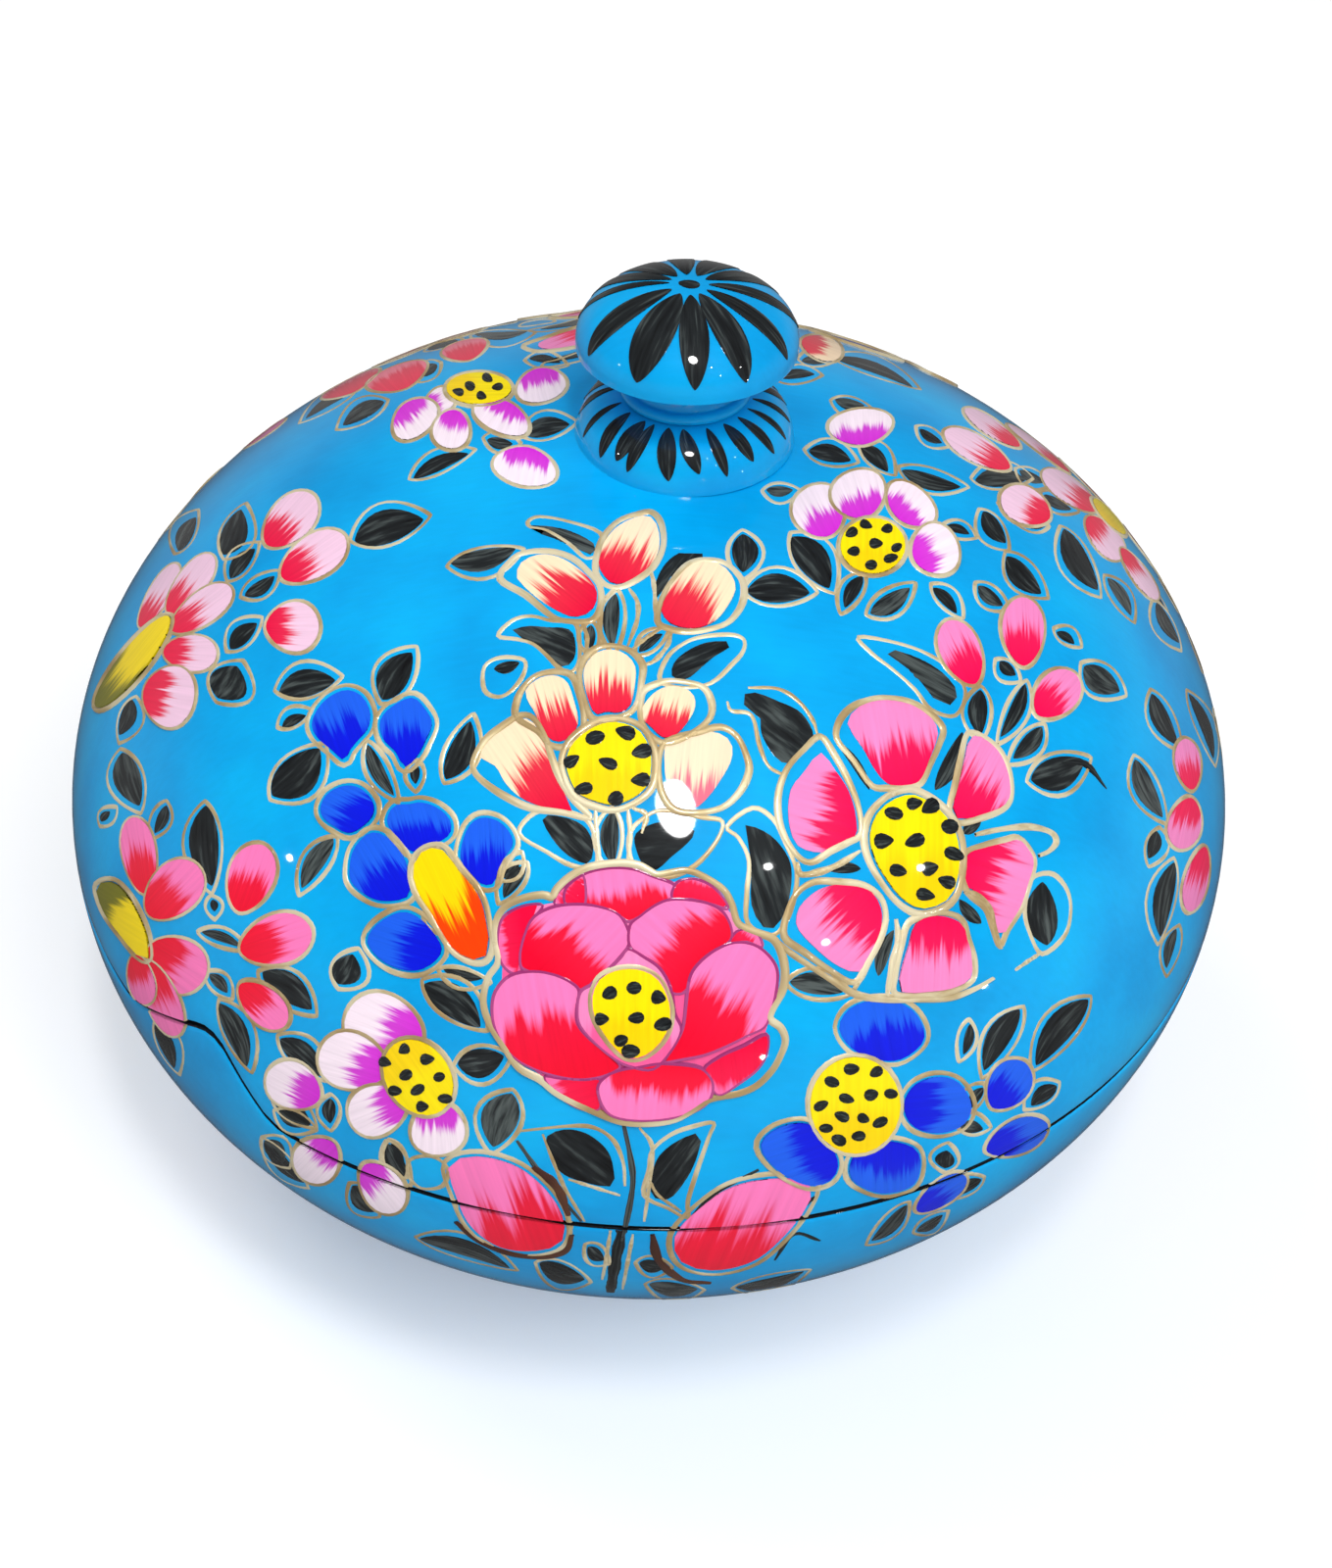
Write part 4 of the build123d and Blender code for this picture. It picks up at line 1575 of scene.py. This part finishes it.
laid("blue_flower", blue_flower(blue_view))
laid("low_blue_flower", low_blue_flower(seen, low_view))

# %% [markdown]
# ## Orchid-coloured flowers
# Three small flowers in magenta and white. Their petals are plain blobs, so each is only a root, a tip and a
# width in the photograph. A flower is its petals, its heart, its seeds and its buds.

# %% Orchids
low_orchid = (
    [(430, 1064, 354, 1034, 66), (394, 1094, 327, 1072, 56), (414, 1120, 358, 1143, 50),
        (446, 1124, 449, 1177, 54)],
    (403, 1065, 452, 1132, 64),
    [(413, 1070), (437, 1080), (394, 1083), (415, 1096), (449, 1098), (427, 1111), (404, 1112), (455, 1120),
        (432, 1128)],
    [(326, 1122, 274, 1094, 46), (341, 1166, 307, 1200, 46), (372, 1188, 408, 1234, 40)],
)
top_orchid = (
    [(436, 416, 462, 402, 24), (548, 377, 556, 410, 50), (412, 414, 434, 441, 50), (466, 420, 456, 458, 36),
        (519, 412, 506, 441, 58)],
    (456, 398, 522, 398, 32),
    [(480, 396), (508, 397), (492, 406), (468, 402), (498, 388)],
    [(540, 457, 532, 495, 64)],
)
right_orchid = (
    [(848, 546, 824, 498, 52), (884, 528, 868, 482, 54), (916, 530, 940, 502, 56), (932, 572, 974, 552, 52)],
    (890, 586, 890, 530, 66),
    [(893, 556), (868, 545), (883, 537), (904, 541), (914, 560), (908, 571), (888, 578), (870, 564)],
    [(880, 454, 876, 418, 64)],
)


def orchid_flower(place, strokes, middle, spots, buds, look=orchid, size=14.0):
    """A small flower in magenta and white, with its bud."""
    coats = petals(place, strokes, look)
    coats += heart(place, middle, spots, len(strokes), size=size, grow=2.0)
    return coats + petals(place, buds, look, point=0.1)


laid("low_orchid", orchid_flower(seen, *low_orchid))
laid("top_orchid", orchid_flower(seen, *top_orchid, size=12.0))
laid("right_orchid", orchid_flower(seen, *right_orchid))

# %% [markdown]
# ## The two large buds
# They lie across the saw cut at the front, so each ends up partly on the lid and partly on the bowl.

# %% Two large buds
front_buds = [
    ((550, 1312, 492, 1160), [(458, 1188), (490, 1180), (530, 1192), (560, 1218), (575, 1245), (572, 1268),
        (545, 1276), (510, 1272), (480, 1250), (465, 1218)]),
    ((726, 1330, 792, 1180), [(690, 1280), (690, 1258), (715, 1232), (745, 1212), (785, 1203), (828, 1206),
        (822, 1232), (798, 1262), (770, 1285), (735, 1295), (705, 1292)]),
]
laid("front_buds", drawn(seen, front_buds, rose, 0, gold, 5.0, 0.5))

# %% [markdown]
# ## Flowers at the ball's edges
# Near the left and right edge the flowers are seen so much from the side that some petals are hidden.
# At the right those petals are laid from a place on the ball instead of from the photograph.

# %% Flowers round the left and right edges
left_rose_buds = [(272, 556, 320, 506, 42), (288, 590, 352, 548, 42), (272, 640, 326, 640, 50)]
left_pink_buds = [(244, 930, 268, 862, 46), (246, 970, 318, 948, 50), (246, 1004, 292, 1046, 36)]
right_pale_buds = [(1030, 478, 964, 440, 26), (1040, 456, 984, 418, 16), (1070, 530, 1022, 504, 36)]
right_pink_buds = [(995, 698, 966, 634, 40), (1045, 680, 1042, 610, 42), (1058, 730, 1096, 688, 42)]
far_right_buds = [(1216, 806, 1208, 754, 25), (1214, 814, 1203, 866, 33), (1228, 864, 1212, 930, 23)]
far_top_buds = [(132, 60, 54), (145, 57, 74), (144.5, 48.7, 76)]
left_rose_petals = [(143, 640, 181, 576, 22), (172, 626, 217, 567, 29), (176, 644, 236, 600, 32),
    (168, 666, 222, 668, 36), (148, 706, 199, 716, 62)]
# The left hearts point their tips towards the ball's edge, so their olive painted shade lies on that side
left_rose_heart = (174, 630, 100, 722, 27)
left_pink_petals = [(149, 912, 136, 834, 34), (153, 934, 202, 883, 50), (153, 966, 208, 1001, 54),
    (150, 980, 182, 1056, 32), (139, 974, 152, 1024, 26)]
left_pink_heart = ((150, 950, 104, 922), [(101, 903), (116, 900), (130, 912), (142, 932), (151, 955),
    (153, 978), (141, 973), (126, 955), (111, 935), (103, 918)])
right_pink_petals = [(1119, 521, 1064, 481, 24), (1109, 528, 1144, 570, 26), (1143, 560, 1180, 612, 16)]
right_pink_hidden = [(55, 20, 150, 50, 76), (10, 52, 30, 146, 72), (60, -40, 130, -90, 70)]
right_pink = beside(14.5, 36.5)
edge_line_mm = 0.3


def buds(place, strokes, look):
    """Petals on their own, drawn to a slight point."""
    return petals(place, strokes, look, point=0.1)


laid("left_rose", petals(seen, left_rose_petals, pale_rose, edge_line_mm)
     + heart(seen, left_rose_heart, [], 5, heart_with_painted_shade) + buds(seen, left_rose_buds, pale_rose))
laid("left_pink", petals(seen, left_pink_petals, rose, edge_line_mm)
     + drawn(seen, [left_pink_heart], heart_with_painted_shade, 5, gold, 3.0) + buds(seen, left_pink_buds, rose))
laid("right_pink", petals(seen, right_pink_petals, pale_rose, edge_line_mm)
     + petals(right_pink, right_pink_hidden, pale_rose) + heart(right_pink, (-33, -30, 33, 30, 56), [], 3)
     + buds(seen, right_pale_buds, pale_rose) + buds(seen, right_pink_buds, peony))
far_buds = buds(seen, far_right_buds, peony)
for azimuth, latitude, width in far_top_buds:
    far_buds += buds(beside(azimuth, latitude), [(width / 2, -48, -width / 2, 48, width)], coral_bud)
laid("far_buds", far_buds + petals(seen, [(818, 348, 858, 362, 24)], coral))

# %% [markdown]
# ## Leaves at the front
# The plain leaves are a root, a tip and a width each. The larger curled ones near the coral flower have edges
# and loops of their own.

# %% Leaves
leaves_left = [(228, 566, 246, 520, 26), (182, 562, 200, 528, 16), (235, 590, 260, 560, 16),
    (250, 608, 280, 588, 14), (235, 662, 262, 636, 18), (222, 712, 242, 680, 40), (285, 706, 342, 694, 28),
    (288, 742, 312, 730, 11), (278, 812, 326, 764, 40), (375, 760, 402, 812, 15), (125, 768, 142, 822, 28),
    (362, 552, 432, 530, 34), (103, 838, 112, 828, 8), (170, 822, 158, 850, 12), (210, 822, 216, 904, 30),
    (217, 918, 219, 930, 8), (206, 951, 246, 966, 10), (214, 994, 232, 1013, 12),
    (224, 1024, 252, 1088, 22), (268, 992, 318, 1030, 28), (340, 856, 308, 906, 20),
    (345, 1004, 360, 974, 30), (286, 1060, 328, 1098, 24), (390, 714, 420, 666, 32),
    (455, 795, 480, 736, 26), (284, 1134, 316, 1148, 14), (270, 1164, 290, 1186, 18),
    (337, 1121, 337, 1146, 14), (400, 1166, 412, 1194, 14), (158, 1046, 178, 1090, 14),
    (428, 1264, 520, 1294, 16), (135, 714, 122, 750, 16)]
leaves_middle = [(628, 606, 625, 660, 17), (603, 638, 603, 662, 12), (652, 665, 676, 647, 11),
    (625, 828, 625, 882, 19), (514, 896, 529, 877, 12), (536, 884, 514, 916, 16),
    (806, 1002, 860, 1012, 22), (452, 988, 493, 998, 11), (433, 1004, 490, 1048, 32),
    (467, 1086, 514, 1078, 30), (522, 1116, 503, 1170, 38), (425, 780, 424, 800, 10),
    (436, 932, 444, 946, 10)]
coral_leaf_edges = [
    [(170, 530), (240, 505), (330, 510), (430, 520), (455, 590), (445, 650), (400, 680), (340, 640),
        (280, 590), (220, 555)],
    [(870, 690), (900, 640), (980, 590), (1060, 570), (1140, 580), (1060, 630), (1000, 680), (940, 730),
        (880, 730)],
    [(210, 75), (300, 70), (400, 85), (480, 115), (535, 150), (530, 195), (470, 175), (400, 140), (320, 110)],
    [(790, 400), (800, 320), (840, 240), (900, 190), (1000, 160), (940, 200), (890, 250), (850, 320),
        (820, 390)],
    [(310, 1330), (400, 1330), (490, 1370), (530, 1450), (510, 1530), (430, 1500), (360, 1430)],
    [(710, 1410), (760, 1370), (840, 1350), (940, 1370), (970, 1400), (930, 1450), (870, 1500), (800, 1560),
        (750, 1540), (720, 1480)],
    [(1160, 820), (1220, 790), (1330, 830), (1430, 880), (1485, 980), (1450, 1040), (1375, 1100),
        (1310, 1060), (1260, 970), (1250, 880), (1200, 850)],
    [(1160, 1370), (1220, 1370), (1310, 1420), (1380, 1520), (1385, 1630), (1360, 1740), (1310, 1810),
        (1260, 1800), (1215, 1710), (1215, 1590), (1210, 1490), (1180, 1410)],
]
coral_leaf_loops = [
    [(120, 545), (180, 480), (260, 460), (350, 480), (450, 490), (470, 560), (470, 650), (440, 700),
        (390, 690), (330, 630), (270, 580), (200, 560)],
    [(820, 740), (850, 640), (920, 580), (1000, 550), (1120, 540), (1180, 560), (1180, 610), (1130, 670),
        (1040, 750), (920, 770)],
    [(250, 50), (300, 30), (420, 50), (560, 100), (560, 180), (500, 210), (430, 150), (330, 90), (260, 75)],
    [(60, 780), (60, 680), (130, 640), (230, 650), (230, 710), (180, 780), (120, 810)],
    [(210, 1400), (280, 1310), (400, 1300), (500, 1340), (540, 1420), (540, 1540), (440, 1540), (330, 1480)],
    [(690, 1500), (690, 1400), (740, 1340), (830, 1300), (1000, 1330), (1090, 1350), (1060, 1440),
        (970, 1540), (860, 1590), (740, 1580)],
    [(1110, 1370), (1220, 1290), (1310, 1340), (1360, 1440), (1410, 1560), (1400, 1680), (1360, 1790),
        (1300, 1840), (1200, 1790), (1195, 1660), (1205, 1520), (1160, 1420)],
]
coral_leaf_lines = [
    [(1110, 830), (1130, 870), (1215, 890), (1250, 1020), (1290, 1110), (1360, 1150)],
    [(1200, 770), (1330, 775), (1420, 830), (1480, 910), (1500, 970)],
]
leaves_top = [(422, 488, 478, 463, 15), (497, 449, 523, 453, 12), (535, 443, 581, 433, 20),
    (460, 575, 526, 560, 22), (540, 366, 572, 370, 8), (825, 460, 868, 470, 18), (878, 455, 906, 481, 16),
    (392, 410, 350, 434, 16), (361, 398, 312, 427, 9), (484, 341, 538, 338, 8), (446, 372, 432, 384, 10),
    (852, 408, 882, 414, 11), (920, 480, 980, 497, 16), (782, 500, 809, 500, 11), (758, 545, 758, 584, 27),
    (808, 548, 846, 600, 32), (762, 603, 826, 605, 30), (880, 588, 862, 620, 15), (888, 626, 928, 600, 20),
    (952, 600, 976, 626, 12), (965, 537, 989, 545, 9), (795, 385, 831, 382, 10), (818, 368, 843, 370, 9),
    (850, 365, 931, 395, 11), (938, 438, 961, 452, 9)]
peony_comma = [
    [(884, 657), (911, 663), (941, 674), (964, 689), (977, 708), (966, 721), (952, 712), (941, 697),
        (922, 678), (903, 666)],
]
peony_comma_loop = [
    [(876, 650), (915, 656), (946, 667), (970, 683), (985, 705), (975, 730), (950, 724), (934, 704),
        (912, 684), (890, 667)],
]
leaves_right = [(995, 490, 1046, 490, 20), (1040, 480, 1066, 492, 10), (1065, 505, 1093, 520, 10),
    (1085, 540, 1120, 602, 24), (1130, 590, 1154, 628, 12), (1003, 522, 1026, 554, 18),
    (1027, 568, 1062, 606, 22), (998, 598, 1023, 618, 14), (1078, 645, 1096, 657, 9),
    (1180, 615, 1203, 656, 12), (1020, 675, 1036, 689, 12), (1000, 704, 1000, 750, 20),
    (1046, 698, 1021, 752, 15), (1063, 742, 1034, 774, 18), (1106, 680, 1142, 706, 26),
    (1052, 796, 1106, 776, 34), (1175, 708, 1201, 760, 18), (1213, 708, 1238, 774, 11),
    (1158, 775, 1186, 834, 20), (1180, 848, 1172, 876, 14), (1198, 880, 1184, 956, 20),
    (1200, 948, 1190, 988, 10), (1040, 1030, 1004, 1092, 24), (990, 1045, 983, 1076, 10),
    (1110, 1020, 1057, 1087, 28), (1078, 1108, 1052, 1128, 16), (1003, 1110, 989, 1131, 11),
    (980, 1150, 1003, 1152, 13), (964, 1192, 966, 1174, 20)]
laid("leaves_left", leaves(seen, leaves_left))
laid("leaves_middle", leaves(seen, leaves_middle) + leaf_edges(coral_view, coral_leaf_edges)
     + loops(coral_view, coral_leaf_loops) + stems(coral_view, coral_leaf_lines)
     + leaves(seen, [(504, 683, 530, 676, 12)], outline=None))
laid("leaves_top", leaves(seen, leaves_top))
laid("leaves_right", leaves(seen, leaves_right) + leaf_edges(seen, peony_comma)
     + loops(seen, peony_comma_loop)
     + stems(seen, [[(1082, 778), (1108, 780), (1129, 805)]], ink, 0.9, taper=0.8))

# %% [markdown]
# ## Round the saw cut at the front
# A dark stem carries the two large buds and runs down across the cut, with leaves, sepals and loose gold
# lines on both sides of it.

# %% Low stems and leaves
low_stem = [(650, 255), (670, 350), (680, 440), (660, 560), (645, 620)]
low_root = [(645, 590), (625, 690), (610, 780)]
low_gold = [
    [(610, 590), (600, 660), (585, 740)],
    [(680, 600), (665, 680), (648, 770)],
    [(700, 270), (740, 330), (730, 450), (715, 560)],
    [(400, 290), (440, 390), (470, 460), (530, 560)],
    [(330, 280), (480, 265), (560, 270), (620, 310), (650, 380), (655, 450)],
    [(480, 430), (560, 455), (640, 480)],
    [(730, 430), (760, 480), (830, 530)],
]
low_edges = [
    [(410, 300), (470, 275), (540, 290), (600, 340), (620, 400), (615, 450), (540, 440), (460, 410),
        (420, 350)],
    [(740, 480), (740, 420), (760, 360), (820, 310), (890, 290), (870, 380), (830, 450), (790, 490)],
]
low_loops = [
    [(715, 480), (730, 400), (740, 340), (800, 290), (870, 265), (930, 255), (915, 300), (880, 400),
        (850, 500), (850, 550), (790, 520)],
    [(-12, 370), (55, 358), (105, 395), (90, 450), (25, 458), (-15, 420)],
]
low_leaves = [(540, 640, 590, 680, 40), (390, 690, 530, 740, 60), (700, 690, 780, 700, 40),
    (730, 755, 880, 770, 44), (1000, 765, 1210, 715, 34), (1530, 510, 1420, 620, 42),
    (1760, 430, 1680, 480, 34), (1560, 590, 1640, 540, 30), (-460, 310, -340, 440, 42),
    (-190, 450, -120, 530, 60), (-80, 320, -20, 430, 54), (-430, 190, -320, 260, 48)]
low_strokes = [
    [(320, 310), (400, 420), (520, 560)],
    [(850, 560), (940, 470), (1070, 400)],
    [(1120, 680), (1180, 600), (1260, 620)],
    [(1200, 520), (1250, 480)],
]
bud_lines = [
    [(130, 560), (200, 620), (300, 660), (400, 670), (470, 650), (490, 600)],
    [(370, 390), (440, 450), (480, 540)],
    [(740, 600), (760, 680), (830, 740), (920, 750)],
]


def low_front(place):
    """The two buds' stem, leaves and sepals, above and below the saw cut."""
    coats = stems(place, [low_stem], leaf, 0.6) + stems(place, [low_root], leaf, 1.2, taper=0.1)
    coats += stems(place, low_gold) + leaf_edges(place, low_edges)
    coats += loops(place, low_loops) + leaves(place, low_leaves, gap=12.0)
    return coats + stems(place, low_strokes, leaf, 0.55) + stems(place, bud_lines, brown_line, 0.9, 0.12)


laid("low_front", low_front(low_view) + petals(seen, [(935, 1235, 985, 1200, 24)], blue))

# %% [markdown]
# ## The knob's stripes
# The knob has no flowers, only black strokes: wide ones that run together on the cap like the seams of a
# melon, and narrow ones down the foot. Two more places unroll the turned profile. On the cap, flat points are
# millimetres from its middle, measured over the dome. On the foot, x goes round and y goes down the profile.

# %% Knob stripes
knob_radii, knob_heights = knob_profile[:, 0], knob_profile[:, 1]
knob_end = knob_run[-1]
foot_mean_radius = 7.2
heading_step = 0.05
stripe_shape = {"egg": -0.15, "point": 0.45}
stripe_outside, stripe_inside = 9.9, 1.5
stripe_fullness, stripe_lift = 1.15, 0.07
stroke_fullness, stroke_lift = 1.35, 0.06
stroke_start = 0.25
# The profile's first points, along which the height only rises
foot_points = 60
rng_knob = np.random.default_rng(5)


def on_knob(angle, run, lift):
    """Points at an angle round the knob and a run up its profile. The normal is the profile's heading
    turned a quarter outwards."""
    before, here, after = (np.stack([np.interp(run + step, knob_run, knob_radii),
                                     np.interp(run + step, knob_run, knob_heights)])
                           for step in (-heading_step, 0.0, heading_step))
    widen, rise = after - before
    size = np.hypot(rise, widen) + 1e-9
    reach = here[0] + lift * rise / size
    level = crown_height + here[1] - lift * widen / size
    return np.stack([knob_offset + reach * np.cos(angle), reach * np.sin(angle), level], 1)


def on_cap(flat, lift=0.0):
    """Millimetres from the cap's middle, over the dome."""
    return on_knob(np.arctan2(flat[:, 1], flat[:, 0]), knob_end - np.hypot(flat[:, 0], flat[:, 1]), lift)


def on_foot(flat, lift=0.0):
    """Millimetres round the foot, and down the profile from the bead."""
    return on_knob(flat[:, 0] / foot_mean_radius, foot_run - flat[:, 1], lift)


foot_run = np.interp(foot_rise, knob_heights[:foot_points], knob_run[:foot_points])
cap_stripes = [(-188, 0.8), (-151, 1.9), (-116, 2.7), (-86, 2.0), (-59, 2.1), (-28, 1.5), (4, 1.3),
    (34, 1.9), (65, 2.2), (97, 1.8), (128, 2.1), (152, 1.4)]
stripes = []
for azimuth, width in cap_stripes:
    spoke = np.array([np.cos(np.radians(azimuth)), np.sin(np.radians(azimuth))])
    stripe = (*(spoke * stripe_outside), *(spoke * stripe_inside), stripe_fullness * width)
    bend = rng_knob.uniform(-0.01, 0.01)
    stripes.append(blob(on_cap, stripe, ink, stripe_lift, detail=15, bend=bend, **stripe_shape))
stripes.append(blob(on_cap, (-0.8, 0.25, 0.8, -0.2, 1.2), ink, 0.03))
laid("cap_stripes", stripes)

foot_strokes = [(-161, -160, 0.5), (-144, -140, 0.9), (-126, -129, 1.1), (-117, -121, 0.8),
    (-104, -98, 1.1), (-92, -82, 1.0), (-72, -67, 0.7), (-56, -50, 0.9), (-40, -34, 0.7), (-24, -19, 0.5),
    (-8, -4, 0.5)]
foot_strokes += [(angle, angle + 4, rng_knob.uniform(0.6, 1.1)) for angle in range(10, 190, 15)]
strokes = []
for top_angle, low_angle, width in foot_strokes:
    top = np.radians(top_angle) * foot_mean_radius
    low = np.radians(low_angle) * foot_mean_radius
    stroke = (top, stroke_start, low, rng_knob.uniform(4.0, 4.7), stroke_fullness * width)
    strokes.append(blob(on_foot, stroke, ink, stroke_lift, detail=9, **stripe_shape))
laid("foot_strokes", strokes)

# %% [markdown]
# ## Round the box
# The photograph shows one side. The flowers at its edges go on round the corner, and the back has the same
# bouquet as the front, mirrored, in other colours. Under the widest line small sprigs hang all the way round.

# %% The back
back_turn = 180


def at_back(place):
    """The front's place carried to the back, mirrored."""
    return carried(place, back_turn, mirror=True)


laid("back_rose", rose_flower(at_back(rose_view), orchid, orchid, orchid))
laid("back_peony", peony_flower(at_back(peony_view), blue))
laid("back_coral", coral_flower(at_back(coral_view), rose, pale_rose, peony))
laid("back_blue", blue_flower(at_back(blue_view), coral))
laid("back_low_blue", low_blue_flower(at_back(seen), at_back(low_view), rose))
laid("back_low_orchid", orchid_flower(at_back(seen), *low_orchid, look=blue))
laid("back_buds", drawn(at_back(seen), front_buds, coral, 0, gold, 5.0, 0.5))
laid("back_leaves", leaves(at_back(seen), leaves_middle + leaves_left[16:])
     + leaf_edges(at_back(coral_view), coral_leaf_edges) + loops(at_back(coral_view), coral_leaf_loops))
laid("back_low", low_front(at_back(low_view)))

# %% [markdown]
# ## The sides
# One side takes over a flower and some leaves from the front by turning them round the axis, the other gets a
# large flower of its own.

# %% The sides
side_place = carried(seen, 128)
laid("side_orchid", orchid_flower(side_place, *low_orchid, look=coral))
laid("side_leaves", leaves(side_place, leaves_left[17:24]))
side_spot = beside(148, 20)
side_foliage = [(110, -40, 190, -90, 44), (-60, -120, -110, -190, 40), (-110, 60, -190, 90, 44),
    (60, 120, 100, 190, 40)]
side_buds = [(20, -130, 60, -210, 56), (-130, -20, -205, -50, 50)]
laid("side_peony", small_flower(side_spot, peony, 0.4, 62.0, 6) + leaves(side_spot, side_foliage)
     + buds(side_spot, side_buds, peony))

# %% [markdown]
# ## Below the saw cut
# A sprig is drawn once, round its own foot, and small flowers and sprigs are then set beside each other.

# %% Sprigs and small flowers below the saw cut
def sprig(place, look, lean):
    """A stem with three leaves and two buds, leaning to one side."""
    routes = [[(0, 0), (lean * 10, 45), (lean * 38, 82)], [(lean * 6, 30), (-lean * 14, 62)]]
    tips = [(lean * 38, 84, lean * 62, 128, 42), (-lean * 14, 64, -lean * 30, 104, 36)]
    foliage = [(lean * 16, 40, lean * 58, 44, 22), (-lean * 4, 18, -lean * 46, 30, 20),
               (lean * 4, -4, lean * 26, -40, 20)]
    return stems(place, routes) + leaves(place, foliage) + petals(place, tips, look, point=0.15)


sprig_looks = [peony, blue, coral, orchid, pale_rose, rose]
sprig_count = 11
first_azimuth, azimuth_step, azimuth_stray = -26, 23, 4
high_latitude, low_latitude = -21, -24
sprig_size = 1.5
sprigs = []
for number in range(sprig_count):
    azimuth = first_azimuth + azimuth_step * number + rng.uniform(-azimuth_stray, azimuth_stray)
    spot = beside(azimuth, low_latitude if number % 2 else high_latitude, sprig_size)
    look = sprig_looks[number % len(sprig_looks)]
    lean = 1.0 if number % 2 else -1.0
    sprigs.append(sprig(spot, look, lean) if number % 3 else small_flower(spot, look, rng.random()))
for third in range(3):
    laid(f"sprigs_{third}", sum(sprigs[4 * third : 4 * third + 4], []))
